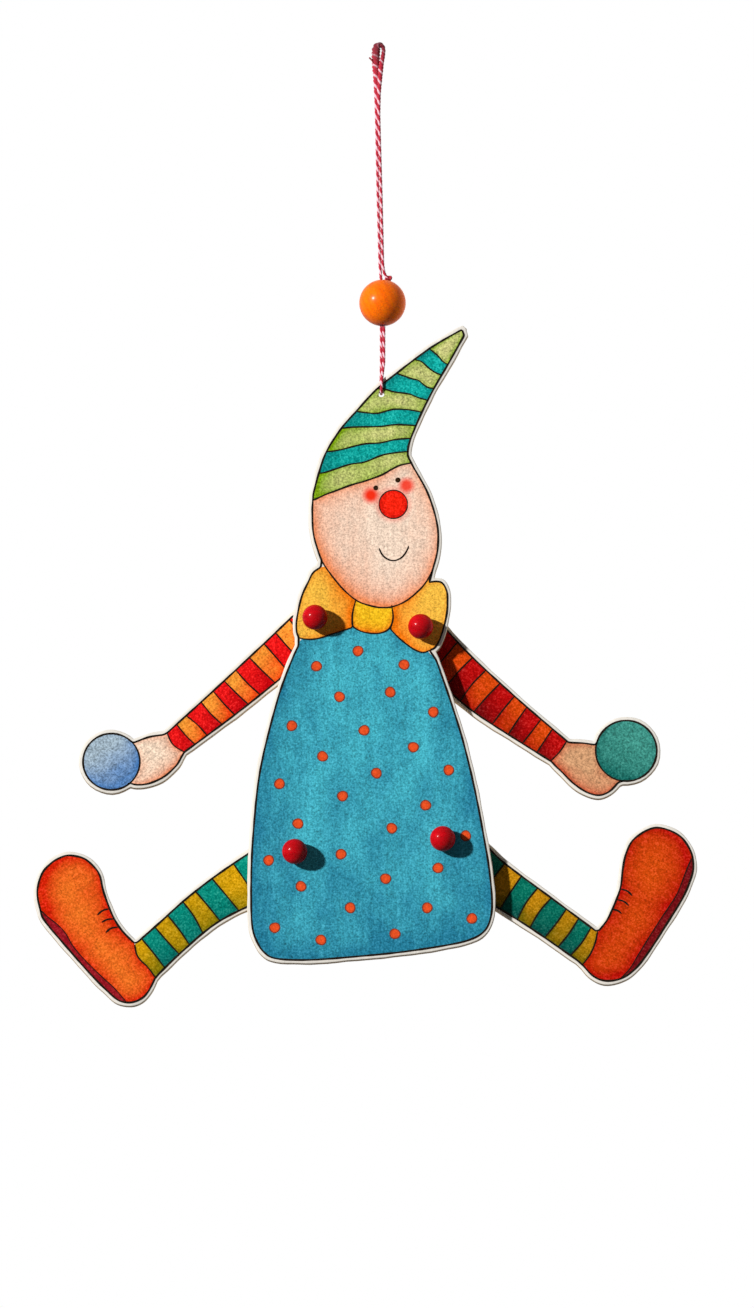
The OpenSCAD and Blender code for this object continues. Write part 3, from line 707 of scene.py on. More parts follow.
# %% Paint the dress
dress_blue = watercolour("dress_blue", (70, 180, 196), (34, 122, 150), cloud=1.6, grain=0.95)
dot_edge = watercolour("dot_edge", (120, 52, 36), (84, 40, 34), cloud=0.5, grain=0.4)
dot_red = watercolour("dot_red", (232, 82, 34), (150, 50, 30), cloud=0.5, grain=0.5)
dress_patch = smooth(dress_edge + [[12, -3], [1, 1], [-12, 0], [-19, -3.5], [-22.2, -6]]) + dress_at
dots = [
    [-3, -9], [-16.5, -14], [12, -13.5], [-9, -24], [7.5, -22.5], [21.5, -29], [-24.5, -33.5],
    [-1, -35], [15, -40.5], [-14.5, -43.5], [3, -49], [26.5, -48], [-28.5, -52.5], [-8, -56.5],
    [19, -59.5], [-22.5, -65.5], [8, -67], [32, -69.5], [-32, -77.5], [-8.5, -75.5], [23, -80],
    [6, -83.5], [-21.5, -86], [-5.5, -93], [19.5, -93], [34, -96.5], [-30, -99.5], [9, -101.5], [-15, -103.5],
]
look = dict(reach=5, pool=0.5, base=0.46, lean=(0, -0.004), rings=24)
body_paint.append(patch(dress_patch, dress_at + [0, -62], dress_blue, y_wash, **look))
dot_r = 1.68
degrees = np.arange(0, 360, 15)
for k, dot in enumerate(np.array(dots) + dress_at):
    a = np.radians(degrees)
    r = dot_r * (1 + 0.03 * np.sin(2 * a + k) + 0.03 * np.sin(3 * a + 2.4 * k))
    rim_line = dot + r[:, None] * heading(degrees)
    body_paint.append(patch(rim_line, dot, dot_red, y_knot, reach=0.3, pool=0.9, rings=5))
    body_paint.append(ink_line(rim_line, 0.3, dot_edge, y_rim, closed=True))
flat_piece("body_paint", body_paint, "body")

# %% [markdown]
# ## The ink
# The painter went over every edge with a brown-black pen. A line is a narrow ribbon that swells and
# thins as the pen travels.

# %% Ink the body
ink = watercolour("pen_ink", (24, 19, 14), (46, 34, 22), cloud=0.4, grain=0.4)
chin_line = smooth(head_left[-1:] + chin + head_right[:1]) + head_at
wing_lines = [np.array(wing_left[6:16]) + bow_at, np.array(wing_right[14:] + wing_right[:1]) + bow_at]
smile = [
    [1.3, -4.3], [2, -6], [3.1, -7.3], [4.5, -8.1], [5.8, -8.4], [7.3, -8.1], [8.8, -7.2], [9.9, -5.8],
    [10.7, -4.3], [10.9, -3.5],
]
body_ink = [ink_line(body_outline, 0.6, ink, y_ink, closed=True), ink_line(chin_line, 0.53, ink, y_ink)]
body_ink += [ink_line(smooth(line), 0.5, ink, y_ink) for line in hat_lines[1:-1]]
body_ink += [ink_line(smooth(hat_lines[-1]), 0.6, ink, y_ink)]
body_ink += [ink_line(smooth(line), 0.52, ink, y_ink) for line in wing_lines]
body_ink += [
    ink_line(smooth(np.array(bow_knot[:13]) + bow_at), 0.52, ink, y_rim),
    ink_line(smooth(np.array(smile) + head_at), 0.54, ink, y_ink),
    ink_line(arc(nose_at, nose_r + 0.05, 0, 360, 60), 0.36, ink, y_ink),
]
flat_piece("body_ink", body_ink, "body")

# %% [markdown]
# ## Arms and legs
# Each limb is drawn lying along the u axis, from its peg outwards, with v across it, and is then
# turned down and, on the left, mirrored. Its hidden end runs round the peg and out along a tail with
# the pull cord's hole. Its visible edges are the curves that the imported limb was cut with, apart
# from the left boot's toe, which is up to 1 mm rounder here.

# %% Limbs as drawn
limb_front = 3.15
tail_rise, tail, tail_end_r, tail_hole_r = 10, 8, 3.4, 1.6
y_limb, y_ball, y_limb_ink = limb_front - film * np.array([1, 1.5, 3])
arm_end_r, leg_end_r, cuff = 7.4, 9.3, np.array([60.5, 0])
which_side = {-1: "_left", 1: "_right"}


def placed(at, side, drop):
    """Gives a function: u and v turned down by drop, mirrored for side -1, and moved to the peg."""
    c, s = heading(drop)
    return lambda p: at + np.stack([side * (p[:, 0] * c + p[:, 1] * s), p[:, 1] * c - p[:, 0] * s], 1)


def along_limb(side, drop):
    """The turn that lays the grain along a limb."""
    return side * np.radians(90 - drop)


def hidden_end(end_r, turn):
    """Round the peg, out round the tail that points at an angle of turn, and back."""
    r, t = end_r - rim, tail_end_r - rim
    lean = np.degrees(np.arcsin(t / r))
    tail_tip = arc(tail * heading(turn), t, turn - 90, turn + 90)
    return np.vstack([arc([0, 0], r, 90, turn - lean), tail_tip, arc([0, 0], r, turn + lean, 270)])


def limb(kind, peg, side, drop, end_r, edge, shells, lines):
    """A limb's board, its paint and its ink, from its visible edge, its patches and its pen lines."""
    name, at = kind + which_side[side], pegs[peg + which_side[side]]
    turn = 180 + drop - tail_rise
    where = placed(at, side, drop)
    holes = [(np.zeros(2), loose_r), (tail * heading(turn), tail_hole_r)]
    wood = plywood(name + "_plywood", along_limb(side, drop))
    sawn = board(np.vstack([hidden_end(end_r, turn), edge]), holes, limb_front, wood)
    sawn["points"][:, ::2] = where(sawn["points"][:, ::2])
    make_piece(name + "_plywood", [sawn], [name], closed=True)
    flat_piece(name + "_paint", shells, name, where)
    inked = [ink_line(line, width, ink, y_limb_ink) for line, width in lines]
    flat_piece(name + "_ink", inked, name, where)


def across(under, over, cuts):
    """The lines across a sleeve or stocking: each goes from the upper edge at the first cut,
    through the middle at the second, to the lower edge at the third."""
    lower, upper = smooth(under), smooth(over)[::-1]
    lines = []
    for top, middle, bottom in cuts:
        v_top, v_low = np.interp(top, *upper.T), np.interp(bottom, *lower.T)
        lines.append([[top, v_top], [middle, (v_top + v_low) / 2], [bottom, v_low]])
    return lines


def striped(lines, colours, **look):
    """Stripes of two colours in turn, each ruled from one line to the next."""
    pairs = enumerate(zip(lines, lines[1:]))
    return [stripe(a, b, colours[k % 2], y_limb, **look) for k, (a, b) in pairs]


def limb_paints(side, drop, paints):
    """One watercolour for each (name, wash, deep, what else differs), its grain along the limb."""
    turn = along_limb(side, drop)
    return [watercolour(name, wash, deep, turn=turn, **more) for name, wash, deep, more in paints]

# %% [markdown]
# ## The sleeves, hands and balls
# The sleeves are striped in red and orange, and the right one is darker than the left. Each hand is
# a pale mitten that holds a ball against its thumb side.

# %% Paint the arms
def arm(side, drop, paints, under, over, cuts, palm, thumb, palm_middle, ball):
    """Sleeve stripes ruled between the cuts, the hand as a patch, and the ball over it. The ball is
    its middle, its radius, the angles where its free edge starts and ends, and its colour's slope."""
    paints = limb_paints(side, drop, paints)
    middle, ball_r, start, end, ball_lean = ball
    ball_at = cuff + middle
    palm, thumb = smooth(np.array(palm) + cuff), smooth(np.array(thumb) + cuff)
    edge = np.vstack([smooth(under), palm, arc(ball_at, ball_r, start, end), thumb, smooth(over)])
    lines = across(under, over, cuts)
    shells = striped(lines, paints[:2], pool=0.35, lean=(-0.06, -0.115), base=0.3)
    held = arc(ball_at, ball_r - 0.6, end, 360 + start, 16)[::-1]
    hand = np.vstack([palm, held[:-1], thumb, smooth(lines[-1])[1:]])
    shells.append(patch(hand, cuff + palm_middle, paints[2], y_limb, reach=1.8, pool=0.85, lean=(0, -0.04)))
    look = dict(reach=1.4, pool=0.4, lean=ball_lean, base=0.4)
    shells.append(patch(circle(ball_at, ball_r), ball_at, paints[3], y_ball, **look))
    inked = [(edge, 0.6), (arc(ball_at, ball_r, end - 4, 364 + start, 30), 0.52)]
    inked += [(smooth(line), 0.48) for line in lines[1:]]
    limb("arm", "shoulder", side, drop, arm_end_r, edge, shells, inked)


arm(
    side=-1, drop=41.4,
    paints=[
        ("sleeve_red", (236, 20, 20), (190, 0, 8), {}),
        ("sleeve_orange", (244, 156, 52), (228, 62, 8), {"cloud": 1.4}),
        ("hand_cream", (240, 215, 190), (228, 138, 98), {"cloud": 0.8}),
        ("ball_blue", (162, 182, 196), (64, 116, 176), {"grain": 1.1}),
    ],
    under=[[8, -6.6], [20, -6.8], [40, -5.9], [60.5, -4.2]],
    over=[[60.5, 4.2], [40, 4.6], [18, 5.3], [4, 5.9]],
    cuts=[
        (5, 5, 5), (6.1, 6.1, 6.1), (12.3, 12.4, 12.2), (17.5, 17.5, 17.7), (24.1, 23.8, 23.3),
        (30.1, 30.1, 29.5), (35.3, 35, 34.5), (40.2, 40.3, 40.1), (45.5, 45.7, 45.2), (52.1, 51.3, 51.3),
        (56.3, 56.5, 56.2), (60.5, 61.6, 60.4),
    ],
    palm=[[2, -4.9], [4.9, -5.8], [10.2, -5.9], [15.4, -4.3], [18.7, -1.9], [20, 0.1]],
    thumb=[[10, 8.9], [5.3, 7.1], [1.4, 4.6]],
    palm_middle=[8.5, 0.5],
    ball=([19.8, 9.1], 9.25, -84, 178, (0.01, -0.07)),
)
arm(
    side=1, drop=41.5,
    paints=[
        ("sleeve_dark_red", (184, 6, 6), (112, 0, 4), {}),
        ("sleeve_dark_orange", (214, 70, 4), (168, 20, 0), {"cloud": 1.4}),
        ("hand_peach", (206, 154, 112), (196, 64, 32), {"cloud": 0.9}),
        ("ball_green", (70, 156, 142), (10, 98, 90), {"grain": 1.1}),
    ],
    under=[[8, -8.2], [19, -9], [31, -8.7], [45, -6.7], [60.5, -4.2]],
    over=[[60.5, 4.2], [40, 3.9], [18, 4.4], [4, 5.9]],
    cuts=[
        (5, 5, 8), (11.7, 11.9, 12), (18.7, 18.3, 18.7), (24.7, 24.4, 25.2), (31, 30.7, 30.8),
        (37.3, 37.5, 38), (42.7, 43.3, 44.1), (48.8, 49.2, 49.5), (53.7, 54.3, 55), (59.8, 60.4, 60.2),
    ],
    palm=[[2, -4.4], [4.9, -4.5], [9.9, -4.8], [15.2, -4.1], [18.9, -2.2], [20.6, 1], [20.8, 5]],
    thumb=[[7, 9.3], [3.9, 7.3], [1.2, 5.1]],
    palm_middle=[9, 0.5],
    ball=([15.9, 14.6], 9.95, -56, 206, (0, -0.05)),
)

# %% [markdown]
# ## The stockings and boots
# The stockings are striped in blue-green and mustard. Each boot is one orange wash, lighter in its
# middle and red at its edges, with a crimson sole and three short ticks where the laces would be.

# %% Paint the legs
def leg(side, drop, paints, under, over, cuts, ankle, boot, boot_middle, boot_lean, sole, sole_ends, ticks):
    """Stocking stripes between the cuts, the boot as a patch from its middle, the sole over it. The
    sole lies between its own line and the boot's edge, from the edge's fifth point to its tenth."""
    paints = limb_paints(side, drop, paints)
    edge = np.vstack([smooth(under), smooth(boot), smooth(over)])
    lines = across(under, over, cuts) + [ankle]
    shells = striped(lines, paints[:2], pool=0.4, lean=(0, -0.07), base=0.35)
    boot_shape = np.vstack([smooth(boot), smooth(ankle)[1:]])
    look = dict(reach=6, pool=1.3, lean=boot_lean, base=-0.1, rings=20)
    shells.append(patch(boot_shape, np.array(boot_middle), paints[2], y_limb, **look))
    sole_edge = sole_ends[0] + boot[4:10] + sole_ends[1]
    shells.append(stripe(sole, sole_edge, paints[3], y_ball, columns=33))
    inked = [(edge, 0.64)] + [(smooth(line), 0.5) for line in lines[1:]]
    inked += [(smooth(sole), 0.34)] + [(smooth(tick), 0.66) for tick in ticks]
    limb("leg", "hip", side, drop, leg_end_r, edge, shells, inked)


leg(
    side=-1, drop=35.1,
    paints=[
        ("stocking_green", (0, 140, 122), (0, 101, 93), {"grain": 1.0}),
        ("mustard_wash", (210, 157, 6), (116, 108, 0), {"cloud": 1.6}),
        ("boot_orange", (238, 118, 34), (212, 32, 0), {}),
        ("sole_crimson", (150, 18, 32), (110, 8, 20), {}),
    ],
    under=[[12, -7.4], [25.4, -4.6], [36, -3.7], [49, -5], [58.5, -6.5]],
    over=[[58.5, 5.9], [48, 7.1], [38.6, 8.3], [26.7, 9], [12, 8.9], [4, 8.4]],
    cuts=[
        (5, 5, 12), (18.1, 18.2, 18.4), (26.6, 26, 25.5), (33.4, 32.8, 32.4), (38.7, 38.5, 39.3),
        (45.3, 44.9, 45), (50.9, 50.3, 49.5), (56.6, 56.1, 55.9),
    ],
    ankle=[[59.5, 5.8], [60.8, 3], [60.9, 0.5], [60.3, -2.6], [60.2, -6.9]],
    boot=[
        [60.6, -7.1], [64.1, -9], [67.5, -9.9], [71.3, -9], [74.2, -6.2], [75.5, -1.4], [76.8, 6.1],
        [78, 17.1], [79, 28.6], [78.1, 32.7], [75.5, 38.2], [70.9, 42.1], [66.5, 43.2], [63.1, 43],
        [60.2, 41.9], [57, 38.5], [55.8, 34.4], [55.9, 30.8], [57.6, 26.7], [58.8, 22.8], [60.1, 17.1],
        [60.3, 11.8], [59.4, 6.4],
    ],
    boot_middle=[68, 17], boot_lean=(0.02, 0.005),
    sole=[
        [72.5, -7.9], [73.1, -2], [74.2, 3], [75.6, 10.5], [76.2, 16.7], [75.8, 22], [76.4, 26],
        [77.5, 29.6], [78.1, 32.7],
    ],
    sole_ends=([[72.5, -8]], []),
    ticks=[
        [[59.6, 20.1], [61.6, 20.9], [63.9, 20.7]], [[60.3, 16.6], [62.2, 17.7], [64.2, 17.9]],
        [[60.7, 13.6], [62.8, 14.6], [65, 14.4]],
    ],
)
leg(
    side=1, drop=36.1,
    paints=[
        ("stocking_dark_green", (0, 114, 94), (0, 70, 64), {"grain": 1.0}),
        ("mustard_brown", (192, 132, 8), (106, 92, 0), {"cloud": 1.6}),
        ("boot_red_orange", (212, 76, 8), (180, 12, 0), {}),
        ("sole_maroon", (116, 10, 18), (78, 4, 12), {}),
    ],
    under=[[4, -8], [12, -8], [26, -7], [40, -6], [58.5, -5.6]],
    over=[[57.5, 5.7], [40, 5.9], [21, 6.1], [12, 7.3], [4, 7.9]],
    cuts=[
        (5, 5, 5), (20.5, 20.4, 20.3), (27.4, 27.6, 28.1), (33.9, 33.7, 34.7), (39.4, 38.9, 39.5),
        (45.5, 45.6, 45.3), (50.5, 50.9, 50.6), (55.5, 56, 55.5),
    ],
    ankle=[[58, 5.9], [59.5, 2.6], [60.3, -0.5], [60.5, -3], [60.4, -5.8]],
    boot=[
        [61, -5.9], [65.3, -6.7], [69.4, -5.7], [73.2, -2], [75.1, 3.5], [75.3, 11.3], [74.7, 21],
        [73.9, 31.1], [72.2, 38.2], [70.2, 42.1], [66.4, 45.3], [60.5, 46.9], [53.3, 44.5], [49.9, 37.8],
        [50.4, 32.3], [52.6, 27.3], [55.6, 21.9], [57.3, 16], [58.3, 10.9], [58.2, 6.6],
    ],
    boot_middle=[64, 19], boot_lean=(0.03, 0.006),
    sole=[
        [73, -2.3], [73.6, 2], [73.2, 7], [72.6, 14.5], [72.2, 20.7], [72, 26], [71.6, 31.4], [69.8, 38.2],
        [68.6, 43.2],
    ],
    sole_ends=([[73, -2.3]], [[68.8, 43.3]]),
    ticks=[
        [[55.8, 21.5], [58, 22.3], [60.2, 22]], [[57, 18], [59.1, 18.9], [61.2, 18.7]],
        [[57.7, 14.6], [59.3, 15.3], [60.9, 15.2]],
    ],
)

# %% [markdown]
# ## Turned wood
# The pegs, washers, caps and bead were turned on a lathe, so each is a profile of radius and height
# carried round an axis. The balls and the bead are lacquered, and the rest is bare beech.

# %% Lathe
def tube_faces(rows, sides, closed):
    """The faces of a tube, with a flat end at each end where it isn't closed on itself."""
    faces = grid_faces(rows, sides, wrap_rows=closed, wrap_columns=True)
    if not closed:
        faces += [list(range(sides)), list(range((rows - 1) * sides, rows * sides))]
    return faces


def turned(profile, at, finish, axis="y", closed=True, sides=64):
    """A profile of (radius, height) points carried round an axis: r cos a, r sin a, h."""
    profile = np.asarray(profile, float)
    a = np.arange(sides) / sides * 2 * np.pi
    r, h = profile[:, 0, None], np.repeat(profile[:, 1, None], sides, 1)
    order = [r * np.cos(a), h, r * np.sin(a)] if axis == "y" else [r * np.cos(a), r * np.sin(a), h]
    points = np.stack(order, -1).reshape(-1, 3) + np.asarray(at, float)
    faces = tube_faces(len(profile), sides, closed)
    return dict(points=points, faces=faces, mark=np.zeros(len(points)), finish=finish)


def eased(profile, corners, radius):
    """A profile with the corners of those numbers rounded by a quarter turn of that radius."""
    out = []
    for k, p in enumerate(np.asarray(profile, float)):
        if k in corners:
            before, after = unit(profile[k - 1] - p), unit(profile[(k + 1) % len(profile)] - p)
            t = np.radians([0, 30, 60, 90])[:, None]
            out.append(p + radius * (before * (1 - np.sin(t)) + after * (1 - np.cos(t))))
        else:
            out.append(p[None])
    return np.vstack(out)


def lacquer(name, colour, deep, axis, shine, blur):
    """Thin glossy colour over wood: the grain shows faintly as darker streaks, and fine dust under
    the coat makes it mottled."""
    finish, tree, shader = new_finish(
        name, Roughness=0.4, Specular_IOR_Level=0.03, Coat_Weight=shine, Coat_Roughness=blur
    )
    streak = birch_in(tree, axis)["Streak"]
    dust = noise(tree, place_in(tree), 1900.0)
    colour = blend(tree, mapped(tree, streak, 0.35, 0.75), srgb(*colour), srgb(*deep))
    shade = calculate(tree, "MULTIPLY_ADD", dust, 0.9, 0.55)
    cover(tree, shader, shaded(tree, colour, shade), streak, 0.12, 0.00003)
    return finish


def bare_wood(name, colour, deep):
    """Bare beech: fine fibres and slow streaks, a little rough."""
    finish, tree, shader = new_finish(name, Roughness=0.62, Specular_IOR_Level=0.2)
    relief = birch_in(tree)["Relief"]
    colour = blend(tree, mapped(tree, relief, 0.75, 1.3), srgb(*colour), srgb(*deep))
    cover(tree, shader, colour, relief, 0.4, 0.00004)
    return finish


# %% Turn the pegs, washers and caps
peg_red = lacquer("peg_lacquer", (190, 0, 14), (164, 0, 8), np.pi / 2, 0.12, 0.12)
beech = bare_wood("bare_beech", (222, 190, 146), (178, 136, 92))
ball_r, shank_r, shank_end = 4.1, 2.0, 10
washer_r, cap_r, play = 4.5, 5, 0.15
washer_back, cap_front = body_back + 1, limb_front + ply + play
cap_back = cap_front + 3
ball_y = body_front - np.sqrt(ball_r**2 - shank_r**2)
neck = 180 - np.degrees(np.arcsin(shank_r / ball_r))
round_front = arc([0, 0], ball_r, 1, neck, 40)
ball = np.stack([round_front[:, 1], ball_y - round_front[:, 0]], 1)
shank = [[shank_r, body_front], [shank_r, shank_end - 0.3], [shank_r - 0.3, shank_end]]
washer = [[loose_r, body_back], [washer_r, body_back], [washer_r, washer_back], [loose_r, washer_back]]
cap = [
    [tight_r, cap_front], [cap_r - 0.2, cap_front], [cap_r, cap_front + 0.2], [cap_r, cap_back],
    [tight_r, cap_back],
]
washer, cap = eased(washer, (1, 2), 0.18), eased(cap, (3,), 0.9)
for name, at in pegs.items():
    middle = np.array([at[0], 0, at[1]])
    ball_and_shank = [
        turned(ball, middle, peg_red, closed=False), turned(shank, middle, beech, closed=False, sides=32)
    ]
    for part, shells, slot in (
        ("peg_", ball_and_shank, "red_lacquer"),
        ("washer_", [turned(washer, middle, beech)], "bare_wood"),
        ("cap_", [turned(cap, middle, beech)], "bare_wood"),
    ):
        make_piece(part + name + "_turned", shells, [part + name], closed=True)

# %% Turn the bead
bead_orange = lacquer("bead_lacquer", (255, 118, 0), (240, 94, 0), 0.5, 0.2, 0.22)
bead_at = np.array([1.5, 0, -84.3])
bead_r, bead_bore_r = 7.6, 1.6
mouth = np.degrees(np.arcsin((bead_bore_r + 0.35) / bead_r))
shell_line = arc([0, 0], bead_r, mouth, 180 - mouth, 48)
flat_r = bead_r * np.cos(np.radians(mouth))
flat_end = [[bead_bore_r + 0.12, flat_r - 0.05], [bead_bore_r, flat_r - 0.4]]
profile = np.vstack([shell_line[:, ::-1], np.array(flat_end) * [1, -1], flat_end[::-1]])
shell = turned(profile, bead_at, bead_orange, axis="z")
bead = make_piece("bead_turned", [shell], ["bead"], closed=True)

# %% [markdown]
# ## Twisted twine
# Baker's twine is a few thin yarns, here one white and two red, twisted round each other. Separate
# tubes would touch all along their length, so the twine is one tube whose cross-section is three
# joined circles, turned once in every few millimetres. The mark says which yarn a point is on. At
# the loop the twine is worn: its yarns lie looser there, and more of the red shows. The top of the
# loop is also painted darker, a painted shade where the twine hangs.

# %% Follow a path
def rounded(route, bend):
    """A route whose sharp corners are replaced by short curves, a(1 - s)² + 2 p s(1 - s) + b s²."""
    route = np.asarray(route, float)
    out = [route[:1]]
    for before, p, after in zip(route, route[1:], route[2:]):
        back, on = before - p, after - p
        turn = np.pi - np.arccos(np.clip(unit(back) @ unit(on), -1, 1))
        if turn < np.radians(35):
            out.append(p[None])
            continue
        t = min(bend * np.tan(turn / 2), 0.45 * np.linalg.norm(back), 0.45 * np.linalg.norm(on))
        a, b, s = p + unit(back) * t, p + unit(on) * t, np.linspace(0, 1, 6)[:, None]
        out.append(a * (1 - s) ** 2 + 2 * p * s * (1 - s) + b * s**2)
    return np.vstack(out + [route[-1:]])


def yarns(path, diameter, finish, pitch=2.2, sides=12, closed=False, step=0.3, start=0.0, worn=0.0):
    """A tube of three twisted yarns. Its radius at an angle f is c cos g + √(r² - c² sin² g), the
    outside of the nearest yarn's circle, with g the angle from that yarn, and f turns along the
    path. An open path's corners are softened first: eight times over, each point goes half way to
    the mean of its neighbours. Near height 0, within about 13 mm, the tube is thicker by the share
    that is worn, most on the left."""
    path = np.vstack([path, path[:1]]) if closed else path
    length = run_along(path)[-1]
    line = spread(path, int(length / step) + 1)
    for _ in range(0 if closed else 8):
        line[1:-1] = line[1:-1] / 2 + (line[:-2] + line[2:]) / 4
    line = line[:-1] if closed else line
    run = np.arange(len(line)) / (len(line) - 1) * length - start
    tangent = unit(np.roll(line, -1, 0) - np.roll(line, 1, 0)) if closed else unit(np.gradient(line, axis=0))
    aside = np.array([0.5, 1.0, 0.3])
    side = unit(aside - tangent * (tangent @ aside)[:, None])
    up = np.cross(tangent, side)
    a = np.arange(sides) / sides * 2 * np.pi
    sector = 2 * np.pi / 3
    g = (a + sector / 2) % sector - sector / 2
    yarn = diameter / 2 * 0.62
    c = diameter / 2 - yarn
    radius = c * np.cos(g) + np.sqrt(yarn**2 - (c * np.sin(g)) ** 2)
    f = a[None] + 2 * np.pi * run[:, None] / pitch
    fray = np.exp(-((line[:, 2] / 13) ** 2))
    loose = 1 + worn * fray * (1.2 - line[:, 0] / 2)
    out = np.cos(f)[..., None] * side[:, None] + np.sin(f)[..., None] * up[:, None]
    points = line[:, None] + loose[:, None, None] * radius[None, :, None] * out
    marks = np.tile(np.cos(a) - 0.36, len(line)) - np.repeat(0.62 * fray, sides)
    faces = tube_faces(len(line), sides, closed)
    return dict(points=points.reshape(-1, 3), faces=faces, mark=marks, finish=finish), line


def overhand(centre, size, diameter, finish):
    """A pulled knot: a trefoil, (sin t + 2 sin 2t, cos t - 2 cos 2t, -sin 3t), drawn tight."""
    t = np.linspace(0, 2 * np.pi, 73)[:-1]
    loop = np.stack([np.sin(t) + 2 * np.sin(2 * t), -np.sin(3 * t), np.cos(t) - 2 * np.cos(2 * t)], 1)
    path = loop * (size - diameter) / 6 + centre
    return yarns(path, diameter, finish, pitch=2.5, closed=True, step=0.15)[0]


# %% The twine's material
def yarn_finish(name, light, dark, split=False):
    """Spun cotton: split says whether the mark parts two colours, and fine noise gives the fuzz."""
    finish, tree, shader = new_finish(name, Roughness=0.85, Sheen_Weight=0.25)
    fuzz = noise(tree, place_in(tree), 5200.0)
    wander = calculate(tree, "MULTIPLY_ADD", calculate(tree, "SUBTRACT", fuzz, 0.5), 1.2, mark_of(tree))
    low, high = (-0.15, 0.15) if split else (-1.0, 1.4)
    colour = blend(tree, mapped(tree, wander, low, high), srgb(*dark), srgb(*light))
    if split:
        # Painted shade: towards the top of the loop, where the twine hangs, the colour darkens to a deep
        # maroon.
        height = new_node(tree, "SeparateXYZ", {"Vector": place_in(tree)})["Z"]
        colour = blend(tree, mapped(tree, height, -0.006, 0.002, high=0.85), colour, srgb(84, 8, 28))
    shade = calculate(tree, "MULTIPLY_ADD", fuzz, 0.5, 0.75)
    cover(tree, shader, shaded(tree, colour, shade), fuzz, 0.5, 0.00008)
    return finish


# %% Lay the hanging twine
twine_d = 1.02
twine_route = [
    [3.4, 1.25, -76.1], [2.6, 0.5, -76.4], [1.98, -0.2, -77.3], [1.95, -0.28, -104], [1.3, -2.7, -109.4],
    [1.1, -2.7, -114.1], [1.1, 2.7, -114.1], [1, 2.7, -109.4], [1.1, 0.28, -104], [1.08, 0.28, -77],
    [0.65, 0.25, -72], [0, 0.15, -48], [-0.5, 0.35, -22], [-0.55, 0.35, -16], [-0.6, 0.3, -9],
    [-0.72, 0.25, -5.6], [-0.72, 0.1, -3], [-0.64, 0, -0.6], [-0.35, 0, 0.5], [0.35, 0, 1.05],
    [1.25, 0, 0.9], [1.8, 0, 0.1], [1.9, 0, -1], [1.65, -0.05, -2.8], [1.25, -0.2, -4.5],
    [0.98, -0.3, -6.8], [0.78, -0.35, -9.2], [0.55, -0.4, -12], [0.35, -0.4, -15], [0.3, -0.4, -22],
    [1.05, -0.25, -48], [1.6, 0, -72], [2.2, 0.6, -75], [3.4, 1.25, -76.1],
]
red_white = yarn_finish("baker_twine", (238, 194, 206), (184, 8, 46), split=True)
red_yarn = yarn_finish("red_yarn", (202, 24, 44), (140, 8, 28))
twine_path = rounded(twine_route, 1.3)
run = run_along(twine_path)
round_hole = run[twine_path[:, 2] < -112]
at_hole = (round_hole[0] + round_hole[-1]) / 2
pitch = run[-1] / round(run[-1] / 3.4)
twine_shell, twine_line = yarns(twine_path, twine_d, red_white, -pitch, sides=18, start=at_hole, worn=1.25)
twine = make_piece("hanging_twine", [twine_shell], ["hanging_cord"])
knot_at = np.array(twine_route[0])
tufts = [knot_at + np.outer([0, 0.5, 1], tip) for tip in ([1.1, -0.4, 0.5], [1.0, -0.7, -0.1])]
loose_end = np.array([[-1.2, -0.5, -5.2], [-1.9, -0.9, -4.4], [-2.8, -0.9, -3.4]])
shells = [overhand(knot_at, 2.6, 1.3, red_yarn)]
for line, width in zip(tufts + [loose_end], (0.95, 0.9, 0.6)):
    shells.append(yarns(line, width, red_yarn, step=0.15)[0])
knot = make_piece("twine_knot", shells, ["hanging_knot"])
print("twine length", round(float(run_along(twine_line)[-1] * MM), 4), "m")

# %% [markdown]
# ## The pull cords
# Behind the boards, one waxed cord joins the tails of the arms and another the tails of the legs,
# and a third ties the two together, so that all four limbs rise at once. They follow the same route
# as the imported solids: through each tail's hole, round its end, and across to the other side.

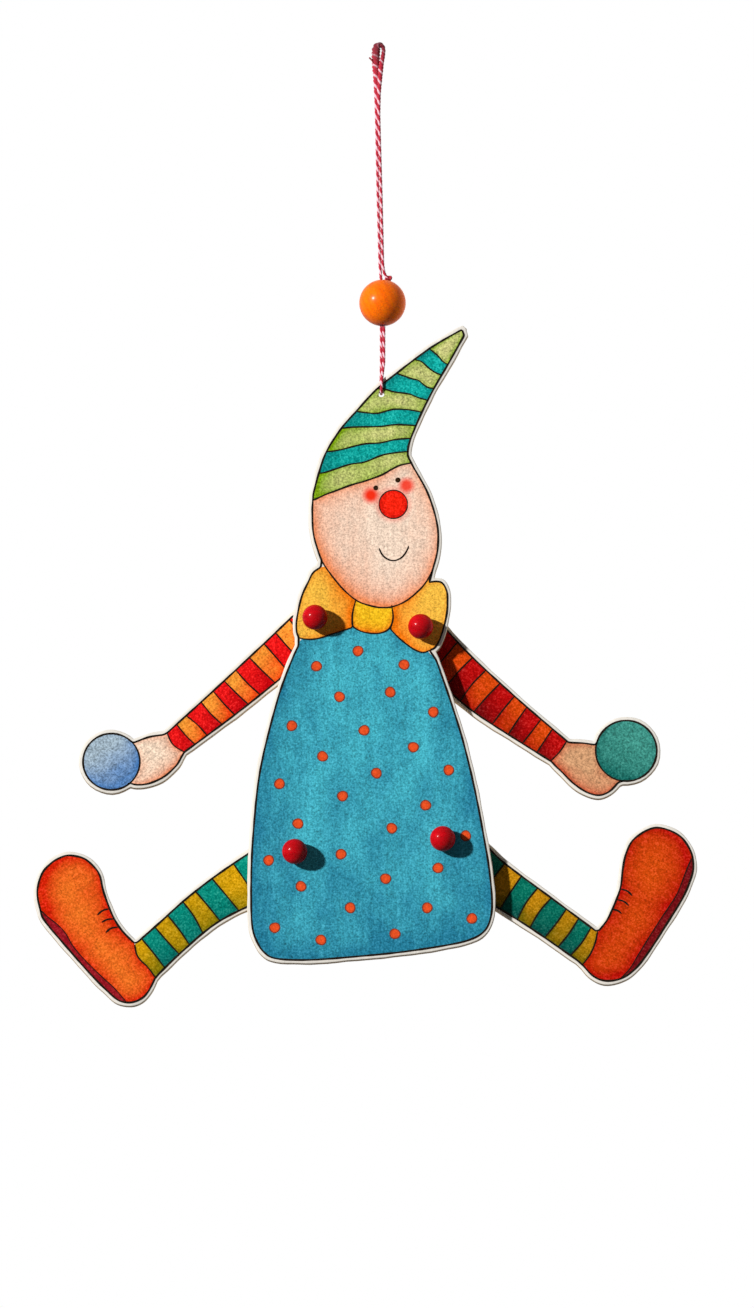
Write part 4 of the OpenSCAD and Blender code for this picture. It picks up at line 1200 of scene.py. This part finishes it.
# %% Lay the pull cords
link_d, link_knot = 0.8, 2.2
link_front, link_back = (body_back + limb_front) / 2, limb_front + ply + play + link_d / 2
link_swing, link_sag = 40, 3
link_in = tail * (1 + np.cos(np.radians(link_swing))) / 2
link_out = tail + tail_end_r + 0.3 + link_d / 2
link_up = tail * np.sin(np.radians(tail_rise))
pull_x = (shoulder_mid[0] + hip_mid[0]) / 2
waxed = yarn_finish("waxed_cord", (232, 222, 198), (176, 158, 124))


def tail_loop(at, side):
    """The corners of a cord's loop through one tail's hole, from its knot out to the tail's end."""
    x = at[0] + side * np.array([(link_in + link_out) / 2, link_in, link_in, link_out, link_out])
    y = np.array([link_back, link_back, link_front, link_front, link_back])
    return np.stack([x, y, np.full(5, at[1] + link_up)], 1)


def pull_cord(name, route, knots, knots_at):
    """A waxed cord along its route, and its knots."""
    shell = yarns(route, link_d, waxed)[0]
    make_piece(name + "_pull_cord", [shell], [name + "_cord"])
    tied = [overhand(at, link_knot, link_d, waxed) for at in knots_at]
    make_piece(name + "_pull_knots", tied, [knots])


middles = []
for name, pair in (("arm", "shoulder"), ("leg", "hip")):
    left, right = pegs[pair + "_left"], pegs[pair + "_right"]
    middles.append(np.array([pull_x, link_back, (left[1] + right[1]) / 2 + link_up - link_sag]))
    loops = tail_loop(left, 1), tail_loop(right, -1)
    route = rounded(np.vstack([loops[0], middles[-1:], loops[1][::-1]]), 0.6)
    behind = np.array([0, (link_knot - link_d) / 2, 0])
    pull_cord(name, route, name + "_cord_knots", [loop[0] + behind for loop in loops])
pull_cord("center", np.stack(middles), "center_knots", middles)

# %% [markdown]
# ## The floor
# The toy hangs clear of everything, so the floor is far below it and takes only a faint shadow.

# %% Floor
floor_mesh = bpy.data.meshes.new("pale_floor")
floor_mesh.from_pydata([(-3, -3, -1), (3, -3, -1), (3, 3, -1), (-3, 3, -1)], [], [(0, 1, 2, 3)])
floor = new_object("pale_floor", floor_mesh)
floor_finish, _, floor_shader = new_finish("pale_floor", Roughness=0.9)
floor_shader.inputs["Base Color"].default_value = (0.95, 0.95, 0.94, 1)
floor_mesh.materials.append(floor_finish)
floor.visible_diffuse = False
